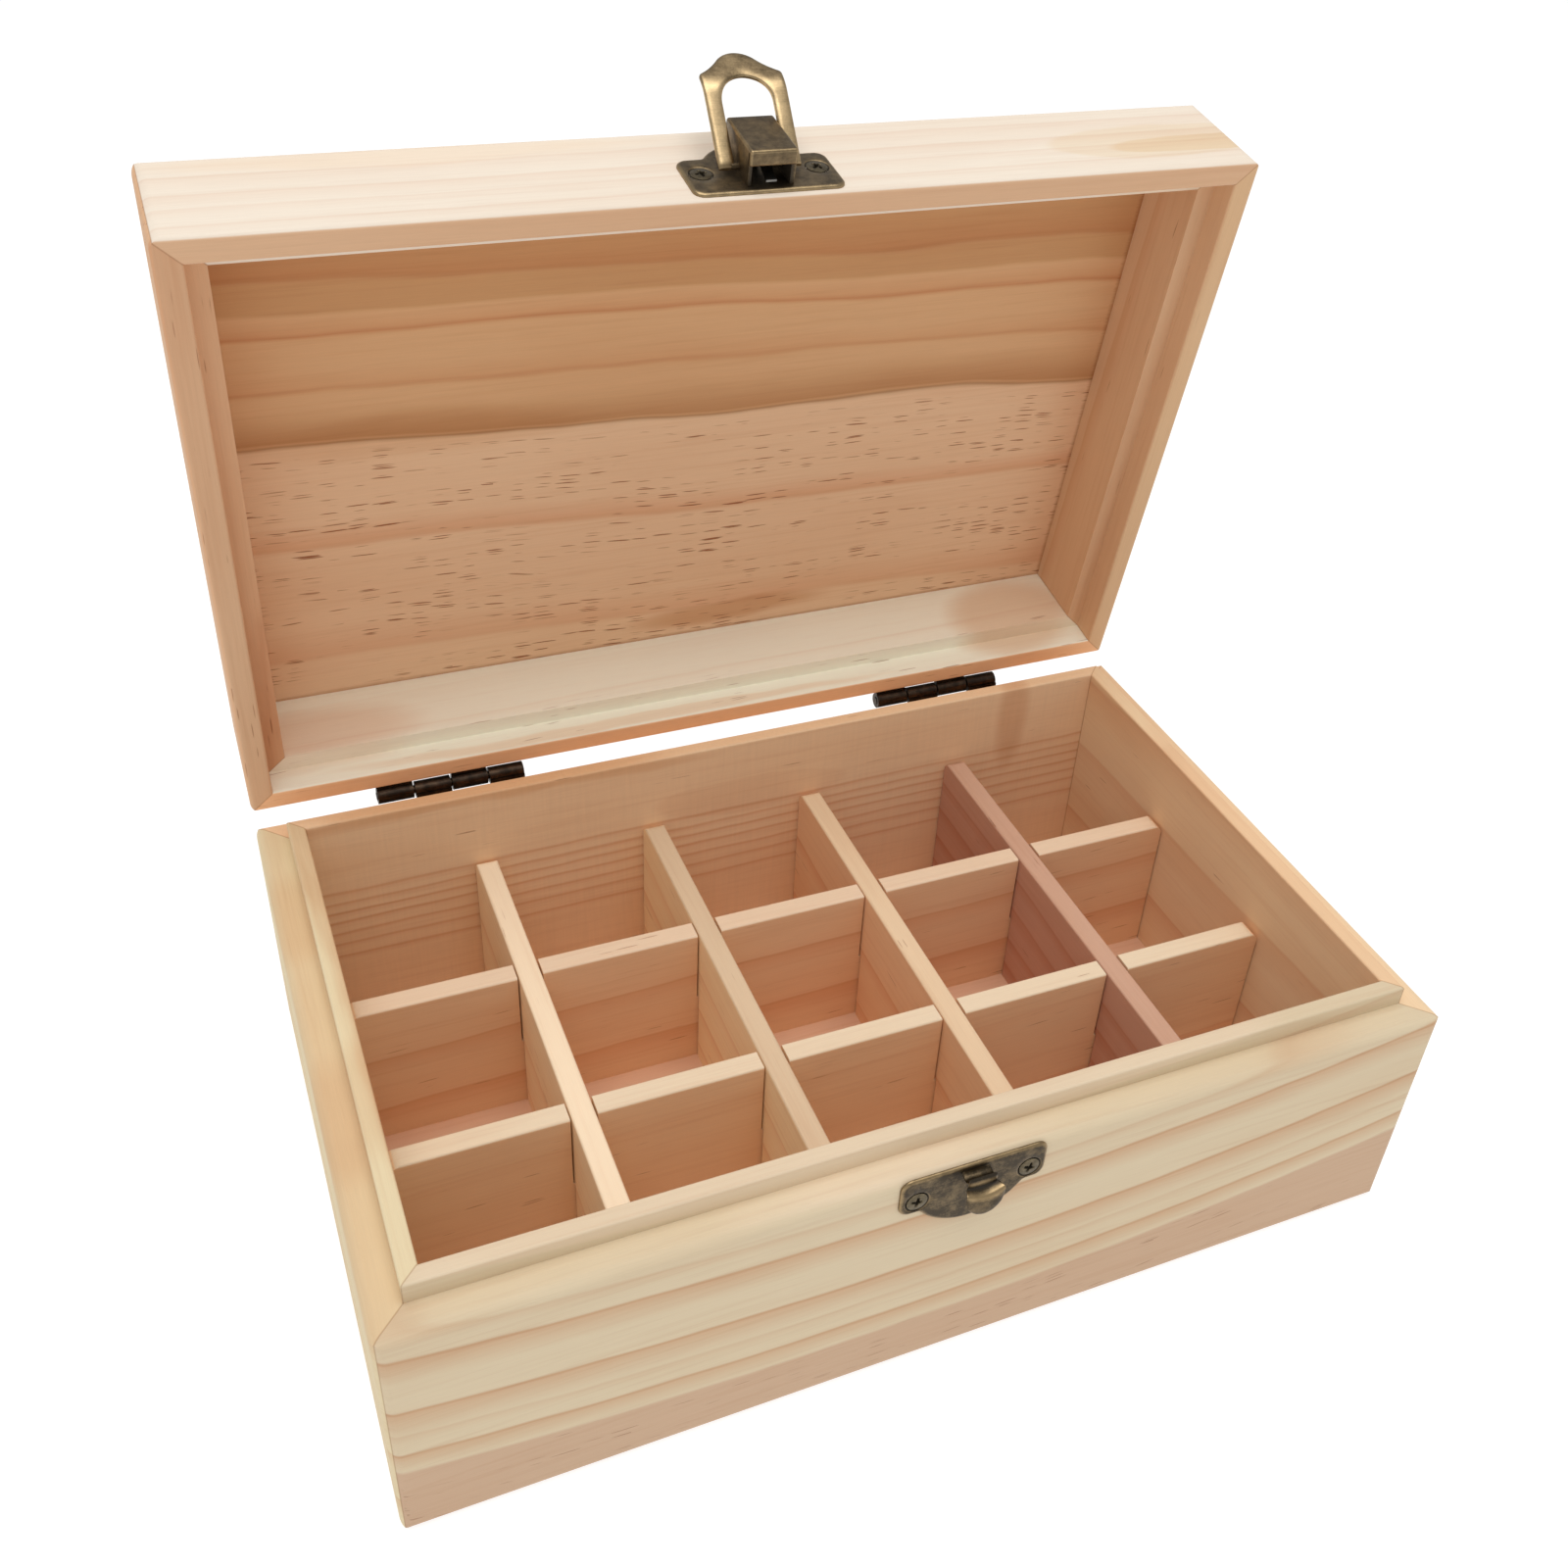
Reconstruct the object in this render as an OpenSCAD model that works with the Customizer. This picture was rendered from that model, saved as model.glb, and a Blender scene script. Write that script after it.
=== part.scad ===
// Compartment storage box in pine. Four mitred boards and a bottom panel make the base, whose
// raised lip is hidden by the recess in the lid. Six half-lapped dividers stand in it loose and
// make three rows of five cells. Two butt hinges carry the lid on the back, and a toggle latch
// with a swinging bail closes it over a hooked keeper on the front.
// Millimetres. The origin is the middle of the underside, X runs along the length and -Y is the front.

/* [Box] */
// Length of the box outside
box_l = 210; // [180:1:320]
// Depth of the box outside, front to back
box_d = 134; // [110:1:240]
// Height of the base from the underside to its ledge
base_h = 54.6; // [46:0.2:120]
// Height of the lid above its rim
lid_h = 26.4; // [22:0.2:60]
// Rounding of the upright corners
corner_r = 2.2; // [1:0.1:4]
// Rounding of the long outer edges
edge_r = 1.8; // [0.8:0.1:3]
// Rounding of the small edges on lip, rim and dividers
arris_r = 0.5; // [0.2:0.1:0.8]

/* [Base] */
// Thickness of the boards of the base
base_wall = 9.6; // [8.6:0.1:14]
// Width of the ledge that the lid lands on
ledge_w = 6.2; // [5.4:0.1:7.4]
// Height of the lip above the ledge
lip_h = 4.4; // [2:0.1:5.8]
// Thickness of the bottom panel
bottom_t = 4.5; // [3:0.1:8]
// How far the bottom panel reaches into its rabbet
bottom_seat = 4.6; // [3:0.1:6]
// Gap round a panel in its rabbet
panel_gap = 0.15; // [0.05:0.05:0.4]

/* [Lid] */
// Angle at which the lid stands open, counted from closed
lid_open = 80; // [0:1:180]
// Thickness of the boards of the lid
lid_wall = 8.6; // [7:0.1:12]
// Width of the rim round the lid's recess
rim_w = 4.8; // [4:0.1:5.2]
// Depth of the recess that takes the lip
recess_h = 6.2; // [6:0.1:6.3]
// Thickness of the top panel
top_t = 3; // [2:0.1:6]
// How far the top panel reaches into its rabbet
top_seat = 4; // [2:0.1:5]
// Gap between the closed lid's rim and the ledge
lid_gap = 0.1; // [0.05:0.05:0.4]

/* [Dividers] */
// Thickness of a divider
divider_t = 4.7; // [3:0.1:6]
// Height of a divider above the bottom panel
divider_h = 36.5; // [20:0.5:40]
// Gap between a divider's end and the wall
divider_gap = 0.3; // [0.1:0.1:1]
// How much wider a half lap is than the divider in it
lap_clear = 0.7; // [0.2:0.1:1.2]
// Rounding of a divider's upper ends
divider_r = 2.4; // [0.8:0.1:4]

/* [Hinges] */
// Length of a hinge
hinge_l = 32.4; // [26:0.1:50]
// Middle of the left hinge, from the box's left end
left_hinge_inset = 42.3; // [30:0.1:60]
// Middle of the right hinge, from the box's right end
right_hinge_inset = 47.3; // [30:0.1:60]
// Radius of a hinge's knuckle
knuckle_r = 1.8; // [1.7:0.05:1.95]
// Distance of the hinge pin's axis behind the boards
hinge_out = 2.2; // [2.1:0.1:2.5]
// Gap between neighbouring knuckles
knuckle_gap = 0.4; // [0.2:0.1:0.8]
// Thickness of a hinge leaf
leaf_t = 0.9; // [0.8:0.1:1.2]
// Width of a hinge leaf from the pin's axis to its edge
leaf_w = 12; // [11:0.5:16]
// Radius of a hinge pin
pin_r = 0.9; // [0.7:0.05:1]
// Running clearance round a pin, on the radius
pin_clear = 0.06; // [0.02:0.01:0.1]

/* [Latch] */
// Width of the latch plate and the keeper
plate_w = 29.2; // [27:0.2:36]
// Thickness of their sheet
plate_t = 0.7; // [0.6:0.1:0.9]
// Height of the latch plate at its ends
latch_h = 12.9; // [12.4:0.1:13.8]
// Height of the latch plate's crown
latch_crown = 17.9; // [17.2:0.1:18.8]
// Gap between the lid's rim and the latch plate
latch_up = 1; // [0.8:0.1:1.2]
// Width of the folded bracket outside
bracket_w = 9.1; // [8.6:0.1:9.3]
// How far the bracket stands out from the board
bracket_out = 7.5; // [6.6:0.1:8]
// Length of the bracket
bracket_l = 13.2; // [12:0.1:14]
// Thickness of the bracket's sheet
bracket_t = 0.8; // [0.6:0.1:1]
// Angle of the bail, counted from hooked over the keeper
bail_open = 138; // [0:1:165]
// Distance of the bail's pivot from the board
pivot_out = 2; // [1.8:0.1:2.2]
// Height of the bail's pivot above the lid's rim
pivot_up = 7.8; // [7.2:0.1:8]
// Width of the bail over its legs
bail_w = 15.9; // [15.6:0.1:17]
// Width of the bail's window
window_w = 9.8; // [9.7:0.1:10.2]
// Length of the bail from its pivot to its shoulders
bail_shoulder = 17.3; // [17.2:0.1:18]
// Length of the bail from its pivot to its crown
bail_crown = 22.2; // [21.8:0.1:22.8]
// Angle by which the bail's crown is bent out for a fingertip
bail_bend = 24; // [10:1:30]
// Thickness of the bail
bail_t = 1.3; // [1:0.1:1.4]

/* [Keeper] */
// Height of the keeper at its ends
keeper_h = 8.8; // [8.4:0.1:10]
// Height of the keeper's crown
keeper_crown = 14.4; // [13.8:0.1:15.6]
// Width of the hooked nose
nose_w = 7.8; // [6:0.1:8]
// Radius of the nose's fold, at the middle of its sheet
nose_bend = 1.4; // [1.2:0.1:1.5]
// Height of the nose from the keeper's top edge to its tip
nose_h = 8.3; // [7.6:0.1:8.4]
// Distance from the board to the middle of the nose's tip
nose_out = 5.5; // [5:0.1:5.8]

/* [Screws] */
// Radius of a screw's head
head_r = 2.1; // [1.8:0.1:2.3]
// Height of the dome on a screw's head
head_h = 0.3; // [0.1:0.1:0.4]
// Radius of a screw's shank
shank_r = 0.9; // [0.7:0.05:1.1]
// Length of a hinge or keeper screw from the surface
screw_l = 8; // [6:0.5:8.5]
// Length of a latch screw from the surface, which must not reach the recess
latch_screw_l = 5; // [4:0.1:5.2]
// Clearance round a shank, on the radius
hole_clear = 0.08; // [0.04:0.01:0.15]

/* [Hidden] */

$fn = 48;
// Overrun of every cut
over = 1;

// Places that several pieces share
inner_l = box_l - 2 * base_wall;
inner_d = box_d - 2 * base_wall;
axis_y = box_d / 2 + hinge_out;
axis_z = base_h + lid_gap / 2;
rim_z = base_h + lid_gap;
hinge_places = [left_hinge_inset - box_l / 2, box_l / 2 - right_hinge_inset];

// The grid of dividers
cross_count = 4;
long_count = 2;
pitch_x = (inner_l + divider_t) / (cross_count + 1);
pitch_y = (inner_d + divider_t) / (long_count + 1);
// Least air left over where two half laps meet
lap_gap = 0.2;

// Screw places on leaves and plates
leaf_screw_share = 0.32;
leaf_screw_down_share = 0.64;
plate_screw_share = 0.385;
latch_screw_share = 0.57;
keeper_screw_share = 0.65;
// How far the keeper's top edge stands above the ledge, in front of the lid's board
keeper_up = 0.3;

// Knuckles of a hinge, counted from its left end: the lid's leaf has the even ones
knuckle_count = 4;
knuckle_l = (hinge_l - (knuckle_count - 1) * knuckle_gap) / knuckle_count;
knuckle_step = knuckle_l + knuckle_gap;
// How far a pin's peened end stands out of the last knuckle
pin_end = 0.15;

// Rounded outlines of the stamped pieces, as shares of their width
plate_corner_share = 0.075;
latch_lobe_share = 0.37;
keeper_lobe_share = 0.428;
fillet_share = 0.042;
bail_lobe_share = 0.32;
bail_fillet_share = 0.8;
bail_corner_share = 0.055;
// How far a fillet's circle cuts into the edges that it blends
fillet_bite = 0.03;

// The bail's sheet: where its crown bends, and how far the window's arch stays under the shoulders
bend_share = 0.84;
arch_share = 0.22;
// Inner end of the bail's feet, as a share of half the bracket's width
foot_share = 0.34;
// How far the loose bail hangs to the left of its bracket's middle
bail_slack = 0.3;

// The bracket: share of it under the pivot, length and place of the feet, depth of its lip
bracket_below_share = 0.431;
tab_share = 0.25;
tab_place_share = 0.6;
bracket_lip_share = 0.36;
bracket_up = pivot_up - bracket_below_share * bracket_l;
tab_l = tab_share * bracket_l;
tab_up = bracket_up + tab_place_share * bracket_l;
spring_share = 0.22;

// The nose: how far its fold stands above the plate, its narrow neck and its lip
nose_rise = 1;
nose_inset = 0.06;
neck_share = 0.36;
neck_down_share = 0.38;
lip_down_share = 0.5;
lip_back = 0.7;

// Corner of a triangle over two others, at the distances a and b from them, on their left
function apex_over(p, q, a, b) =
    let (d = norm(q - p), turn = acos((a * a + d * d - b * b) / (2 * a * d)),
        aim = atan2(q[1] - p[1], q[0] - p[0]) + turn)
    p + a * [cos(aim), sin(aim)];

// Round edge cut away from a corner at the origin, whose material lies towards +X and +Y
module corner_cut(r) {
    difference() {
        translate([-over, -over])
            square(r + over);
        translate([r, r])
            circle(r);
    }
}

// Rectangle about the origin with its four corners rounded
module soft_rect(w, h, r) {
    difference() {
        square([w, h], center = true);
        for (sx = [-1, 1], sy = [-1, 1])
            scale([sx, sy])
                translate([-w / 2, -h / 2])
                    corner_cut(r);
    }
}

// Bar standing on the X axis, w wide and h high, with a round lobe that rises to crown and
// is blended into the bar's top by a fillet on each side
module lobed_plate(w, h, crown, lobe_r, fillet_r, corner) {
    lobe_y = crown - lobe_r;
    fillet_y = h + fillet_r - fillet_bite;
    fillet_x = sqrt(pow(lobe_r + fillet_r - fillet_bite, 2) - pow(fillet_y - lobe_y, 2));
    low = min(lobe_y, h) / 2;
    translate([0, h / 2])
        soft_rect(w, h, corner);
    difference() {
        translate([0, lobe_y])
            circle(lobe_r);
        translate([-w, low - 2 * crown])
            square([2 * w, 2 * crown]);
    }
    difference() {
        polygon([[-fillet_x, low], [fillet_x, low], [fillet_x, fillet_y], [0, lobe_y],
            [-fillet_x, fillet_y]]);
        for (s = [-1, 1])
            translate([s * fillet_x, fillet_y])
                circle(fillet_r);
    }
}

// The same, but the lobe slopes down to the rounded corners in two long hollow curves
module sloped_plate(w, h, crown, lobe_r, hollow_r, corner) {
    lobe = [0, crown - lobe_r];
    shoulder = [w / 2 - corner, h - corner];
    hollow = apex_over(lobe, shoulder, lobe_r + hollow_r - fillet_bite, corner + hollow_r - fillet_bite);
    translate([0, h / 2])
        soft_rect(w, h, corner);
    translate(lobe)
        circle(lobe_r);
    for (s = [-1, 1])
        scale([s, 1])
            difference() {
                polygon([[0, h / 2], lobe, hollow, shoulder, [shoulder[0], h / 2]]);
                translate(hollow)
                    circle(hollow_r, $fn = 4 * $fn);
            }
}

// Section through a board of the base: X runs in from the outer face, Y is up
module base_profile() {
    difference() {
        union() {
            square([base_wall, base_h]);
            translate([ledge_w, 0])
                square([base_wall - ledge_w, base_h + lip_h]);
        }
        corner_cut(edge_r);
        translate([0, base_h])
            scale([1, -1])
                corner_cut(edge_r);
        translate([ledge_w, base_h + lip_h])
            scale([1, -1])
                corner_cut(arris_r);
        translate([base_wall, base_h + lip_h])
            scale([-1, -1])
                corner_cut(arris_r);
        translate([base_wall - bottom_seat, -over])
            square([bottom_seat + over, bottom_t + over]);
    }
}

// Section through a board of the lid: X runs in from the outer face, Y is up from the rim
module lid_profile() {
    difference() {
        square([lid_wall, lid_h]);
        translate([rim_w, -over])
            square([lid_wall - rim_w + over, recess_h + over]);
        translate([lid_wall - top_seat, lid_h - top_t])
            square([top_seat + over, top_t + over]);
        corner_cut(edge_r / 2);
        translate([rim_w, 0])
            scale([-1, 1])
                corner_cut(arris_r);
        translate([0, lid_h])
            scale([1, -1])
                corner_cut(edge_r);
    }
}

// A section run along the front of a frame that is len long and dep deep, mitred at both
// ends and cut to the frame's rounded outline
module mitred_board(len, dep, wall, high) {
    intersection() {
        translate([0, -dep / 2, 0])
            rotate([90, 0, 90])
                linear_extrude(len, center = true)
                    children();
        translate([0, 0, -over])
            linear_extrude(high + 2 * over)
                intersection() {
                    soft_rect(len, dep, corner_r);
                    polygon([[-len / 2, -dep / 2], [len / 2, -dep / 2],
                        [len / 2 - wall, wall - dep / 2], [wall - len / 2, wall - dep / 2]]);
                }
    }
}

module base_board(len, dep) {
    color("burlywood")
        mitred_board(len, dep, base_wall, base_h + lip_h)
            base_profile();
}

module lid_board(len, dep) {
    color("wheat")
        translate([0, 0, rim_z])
            mitred_board(len, dep, lid_wall, lid_h)
                lid_profile();
}

// Turns what is modelled on the closed lid to where the lid stands open
module on_lid() {
    translate([0, axis_y, axis_z])
        rotate([-lid_open, 0, 0])
            translate([0, -axis_y, -axis_z])
                children();
}

// Lays an outline or a hole on the front face of the box, with its Y up from the height z
module on_front(z) {
    translate([0, -box_d / 2, z])
        rotate([90, 0, 0])
            children();
}

// Countersunk wood screw whose head is flush with the plane at the origin and runs down -Z
module screw(len) {
    tip = 2 * shank_r;
    sink = head_r - shank_r;
    dome_r = (head_r * head_r + head_h * head_h) / (2 * head_h);
    color("dimgray")
        rotate_extrude() {
            intersection() {
                translate([0, head_h - dome_r])
                    circle(dome_r, $fn = 4 * $fn);
                square([head_r, head_h]);
            }
            polygon([[0, 0], [head_r, 0], [shank_r, -sink], [shank_r, tip - len], [0, -len]]);
        }
}

// Countersunk hole that such a screw needs, with its clearance
module screw_hole(len) {
    wide = head_r + hole_clear;
    bore = shank_r + hole_clear;
    rotate_extrude()
        polygon([[0, over], [wide, over], [wide, 0], [bore, bore - wide], [bore, -len], [0, -len]]);
}

// Places its children at each screw of the two leaves on one board, down the Y direction of the back
module at_leaf_screws(up) {
    for (x = hinge_places, s = [-1, 1])
        translate([x + s * leaf_screw_share * hinge_l, box_d / 2 + leaf_t,
                axis_z + up * leaf_screw_down_share * leaf_w])
            rotate([-90, 0, 0])
                children();
}

// Places its children at the two screws of a plate whose lower edge is at height z
module at_plate_screws(z) {
    for (s = [-1, 1])
        translate([s * plate_screw_share * plate_w, -box_d / 2 - plate_t, z])
            rotate([90, 0, 0])
                children();
}

latch_screw_z = rim_z + latch_up + latch_screw_share * latch_h;
keeper_screw_z = base_h + keeper_up - keeper_screw_share * keeper_h;

module front_board() {
    difference() {
        base_board(box_l, box_d);
        at_plate_screws(keeper_screw_z)
            screw_hole(screw_l);
    }
}

module back_board() {
    difference() {
        rotate([0, 0, 180])
            base_board(box_l, box_d);
        at_leaf_screws(-1)
            screw_hole(screw_l);
    }
}

module left_board() {
    rotate([0, 0, -90])
        base_board(box_d, box_l);
}

module right_board() {
    rotate([0, 0, 90])
        base_board(box_d, box_l);
}

module bottom_panel() {
    side = 2 * (bottom_seat - panel_gap);
    color("navajowhite")
        translate([0, 0, bottom_t / 2])
            cube([inner_l + side, inner_d + side, bottom_t], center = true);
}

// Upright strip along X with eased top edges and rounded upper ends, standing at height 0
module divider_strip(len) {
    intersection() {
        rotate([90, 0, 90])
            linear_extrude(len, center = true)
                difference() {
                    translate([-divider_t / 2, 0])
                        square([divider_t, divider_h]);
                    for (s = [-1, 1])
                        translate([s * divider_t / 2, divider_h])
                            scale([-s, -1])
                                corner_cut(arris_r);
                }
        rotate([90, 0, 0])
            linear_extrude(divider_t + over, center = true)
                difference() {
                    translate([-len / 2, 0])
                        square([len, divider_h]);
                    for (s = [-1, 1])
                        translate([s * len / 2, divider_h])
                            scale([-s, -1])
                                corner_cut(divider_r);
                }
    }
}

// Slots for the dividers that cross this one, each as deep as half the height
module half_laps(count, pitch, from_top) {
    deep = (divider_h + lap_gap) / 2;
    wide = divider_t + lap_clear;
    z = from_top ? divider_h - deep : -over;
    for (i = [1:count])
        translate([(i - (count + 1) / 2) * pitch - wide / 2, -divider_t, z])
            cube([wide, 2 * divider_t, deep + over]);
}

// Divider from front to back, slotted from below; number 1 is the leftmost
module cross_divider(number) {
    color("tan")
        translate([(number - (cross_count + 1) / 2) * pitch_x, 0, bottom_t])
            rotate([0, 0, 90])
                difference() {
                    divider_strip(inner_d - 2 * divider_gap);
                    half_laps(long_count, pitch_y, false);
                }
}

// Divider from left to right, slotted from above
module long_divider(side) {
    color("burlywood")
        translate([0, side * pitch_y / 2, bottom_t])
            difference() {
                divider_strip(inner_l - 2 * divider_gap);
                half_laps(cross_count, pitch_x, true);
            }
}

// Outline of a leaf hanging from the pin's axis at the origin, notched for the other leaf's
// knuckles; first is the place of its own first knuckle
module leaf_outline(first) {
    notch = knuckle_r + knuckle_gap;
    difference() {
        translate([-hinge_l / 2, -leaf_w])
            square([hinge_l, leaf_w]);
        for (s = [-1, 1])
            translate([s * hinge_l / 2, -leaf_w])
                scale([-s, 1])
                    corner_cut(leaf_t);
        for (i = [1 - first:2:knuckle_count - 1])
            translate([i * knuckle_step - knuckle_gap - hinge_l / 2, -notch])
                square([knuckle_l + 2 * knuckle_gap, notch + over]);
    }
}

// Leaf with its knuckles, about the pin's axis, with the leaf hanging down on the board
module hinge_leaf(first) {
    screw_down = leaf_screw_down_share * leaf_w;
    color("saddlebrown")
        difference() {
            union() {
                translate([0, leaf_t - hinge_out, 0])
                    rotate([90, 0, 0])
                        linear_extrude(leaf_t)
                            leaf_outline(first);
                for (i = [first:2:knuckle_count - 1])
                    translate([i * knuckle_step - hinge_l / 2, 0, 0])
                        rotate([0, 90, 0])
                            cylinder(r = knuckle_r, h = knuckle_l);
            }
            translate([-hinge_l / 2 - over, 0, 0])
                rotate([0, 90, 0])
                    cylinder(r = pin_r + pin_clear, h = hinge_l + 2 * over);
            for (s = [-1, 1])
                translate([s * leaf_screw_share * hinge_l, leaf_t - hinge_out, -screw_down])
                    rotate([-90, 0, 0])
                        screw_hole(screw_l);
        }
}

module hinge_base_leaf(place) {
    translate([place, axis_y, axis_z])
        hinge_leaf(1);
}

// The lid's leaf is the same leaf turned over, so that its knuckles fall between the others
module hinge_lid_leaf(place) {
    on_lid()
        translate([place, axis_y, axis_z])
            mirror([0, 0, 1])
                hinge_leaf(0);
}

module hinge_pin(place) {
    color("dimgray")
        translate([place - hinge_l / 2 - pin_end, axis_y, axis_z])
            rotate([0, 90, 0])
                cylinder(r = pin_r, h = hinge_l + 2 * pin_end);
}

module hinge_base_screws() {
    at_leaf_screws(-1)
        screw(screw_l);
}

module hinge_lid_screws() {
    on_lid()
        at_leaf_screws(1)
            screw(screw_l);
}

module lid_front_board() {
    on_lid()
        difference() {
            lid_board(box_l, box_d);
            at_plate_screws(latch_screw_z)
                screw_hole(latch_screw_l);
        }
}

module lid_back_board() {
    on_lid()
        difference() {
            rotate([0, 0, 180])
                lid_board(box_l, box_d);
            at_leaf_screws(1)
                screw_hole(screw_l);
        }
}

module lid_left_board() {
    on_lid()
        rotate([0, 0, -90])
            lid_board(box_d, box_l);
}

module lid_right_board() {
    on_lid()
        rotate([0, 0, 90])
            lid_board(box_d, box_l);
}

module lid_top_panel() {
    side = 2 * (lid_wall - top_seat + panel_gap);
    color("tan")
        on_lid()
            translate([0, 0, rim_z + lid_h - top_t / 2])
                cube([box_l - side, box_d - side, top_t], center = true);
}

// Outline shared by the latch plate and the keeper
module stamped_outline(high, crown, lobe) {
    lobed_plate(plate_w, high, crown, lobe * plate_w, fillet_share * plate_w,
        plate_corner_share * plate_w);
}

module latch_plate() {
    color("darkolivegreen")
        on_lid()
            difference() {
                on_front(rim_z + latch_up)
                    linear_extrude(plate_t)
                        stamped_outline(latch_h, latch_crown, latch_lobe_share);
                at_plate_screws(latch_screw_z)
                    screw_hole(latch_screw_l);
                for (s = [-1, 1])
                    translate([s * (bracket_w - bracket_t) / 2, -box_d / 2, rim_z + tab_up + tab_l / 2])
                        cube([bracket_t + hole_clear, 4 * plate_t, tab_l + hole_clear], center = true);
            }
}

// Section across the folded bracket: X across, Y out from the board
module bracket_section() {
    inside = bracket_w - 2 * bracket_t;
    translate([0, plate_t])
        difference() {
            translate([-bracket_w / 2, 0])
                square([bracket_w, bracket_out - plate_t]);
            for (s = [-1, 1])
                translate([s * bracket_w / 2, bracket_out - plate_t])
                    scale([-s, -1])
                        corner_cut(bracket_t);
            translate([-inside / 2, -over])
                square([inside, bracket_out - plate_t - bracket_t + over]);
        }
}

// Folded channel over the bail's pivot, with a short lip turned down at the lid's rim
module latch_bracket() {
    lip = bracket_lip_share * (bracket_out - plate_t);
    color("olivedrab")
        on_lid()
            difference() {
                translate([0, -box_d / 2, rim_z]) {
                    translate([0, 0, bracket_up])
                        scale([1, -1, 1])
                            linear_extrude(bracket_l)
                                bracket_section();
                    translate([-bracket_w / 2 + bracket_t, -bracket_out + bracket_t / 2, bracket_up])
                        cube([bracket_w - 2 * bracket_t, lip, bracket_t]);
                    for (s = [-1, 1])
                        translate([s * (bracket_w - bracket_t) / 2 - bracket_t / 2, -plate_t, tab_up])
                            cube([bracket_t, plate_t, tab_l]);
                }
                bail_axis()
                    cylinder(r = bail_t / 2 + pin_clear, h = bracket_w + 2 * over, center = true);
            }
}

// Puts its children on the bail's pivot, with their Z along the box
module bail_axis() {
    translate([0, -box_d / 2 - pivot_out, rim_z + pivot_up])
        rotate([0, 90, 0])
            children();
}

// Edge of a bent sheet that is t thick across X and runs through the points of path
module bent_sheet(path, t) {
    half = [t / 2, 0];
    polygon(concat([for (p = path) p + half], [for (i = [1:len(path)]) path[len(path) - i] - half]));
}

// Leaf spring under the bracket: flat on the plate at the back, then up and over the bail's feet
module latch_spring() {
    t = bracket_t / 2;
    low = plate_t + t / 2;
    high = pivot_out + bail_t / 2 + pin_clear + t / 2;
    back = bracket_up + bracket_l - t;
    path = [[low, back], [low, back - tab_l / 2], [high, pivot_up + bail_t],
        [high, pivot_up - bail_t], [high - bail_t, bracket_up + t]];
    color("silver")
        on_lid()
            translate([0, -box_d / 2, rim_z])
                mirror([0, 1, 0])
                    rotate([90, 0, 90])
                        linear_extrude(spring_share * bracket_w, center = true)
                            bent_sheet(path, t);
}

module latch_screws() {
    on_lid()
        at_plate_screws(latch_screw_z)
            screw(latch_screw_l);
}

// Outline of the bail with its pivot at the origin and its crown up
module bail_outline() {
    bend = bend_share * bail_shoulder;
    crown = bend + (bail_crown - bend) * cos(bail_bend);
    arch = bail_shoulder - window_w / 2 - arch_share * (bail_crown - bail_shoulder);
    difference() {
        sloped_plate(bail_w, bail_shoulder, crown, bail_lobe_share * bail_w, bail_fillet_share * bail_w,
            bail_corner_share * bail_w);
        translate([-window_w / 2, -over])
            square([window_w, arch + over]);
        translate([0, arch])
            circle(window_w / 2);
    }
}

// Side view of the bail's sheet, straight from its pivot and then bent out at its crown
module bail_section() {
    t = bail_t / 2;
    bend = bend_share * bail_shoulder;
    mitre = t * tan(bail_bend / 2);
    aside = [cos(bail_bend), -sin(bail_bend)] * t;
    tip = [0, bend] + [sin(bail_bend), cos(bail_bend)] * bail_crown;
    polygon([[-t, -over], [t, -over], [t, bend - mitre], tip + aside, tip - aside, [-t, bend + mitre]]);
}

// Swinging loop with a window, hung by two feet that turn in through the bracket's sides
module latch_bail() {
    foot = foot_share * bracket_w / 2;
    color("darkkhaki")
        on_lid()
            translate([-bail_slack, -box_d / 2 - pivot_out, rim_z + pivot_up])
                rotate([-bail_open, 0, 0]) {
                    intersection() {
                        rotate([180, 0, 0])
                            rotate([90, 0, 90])
                                linear_extrude(bail_w + 2 * over, center = true)
                                    bail_section();
                        rotate([-90, 0, 0])
                            linear_extrude(2 * bail_crown, center = true)
                                bail_outline();
                    }
                    for (s = [-1, 1])
                        scale([s, 1, 1])
                            translate([foot, 0, 0])
                                rotate([0, 90, 0])
                                    cylinder(r = bail_t / 2, h = bail_w / 2 - foot);
                }
}

// Side view of the nose's sheet: out of the plate, round its fold, down its neck and out over
// its lip to the tip
module nose_section() {
    t = plate_t / 2;
    fold = [t + nose_inset + nose_bend, t + nose_bend - nose_rise];
    front = fold[0] + nose_bend;
    path = [[front, fold[1]], [front, neck_down_share * nose_h],
        [nose_out - lip_back, lip_down_share * nose_h], [nose_out, nose_h]];
    difference() {
        translate(fold)
            circle(nose_bend + t);
        translate(fold)
            circle(nose_bend - t);
        translate([0, fold[1]])
            square([2 * front, 2 * nose_bend]);
    }
    bent_sheet(path, plate_t);
}

// The keeper's plate and its hooked nose, which the bail's window drops over
module keeper() {
    top = base_h + keeper_up;
    color("darkolivegreen")
        difference() {
            union() {
                on_front(top)
                    linear_extrude(plate_t)
                        scale([1, -1])
                            stamped_outline(keeper_h, keeper_crown, keeper_lobe_share);
                intersection() {
                    translate([0, -box_d / 2, top])
                        rotate([180, 0, 0])
                            rotate([90, 0, 90])
                                linear_extrude(nose_w + 2 * over, center = true)
                                    nose_section();
                    on_front(top)
                        linear_extrude(bracket_out + plate_t)
                            scale([1, -1])
                                nose_outline();
                }
            }
            at_plate_screws(keeper_screw_z)
                screw_hole(screw_l);
        }
}

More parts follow.
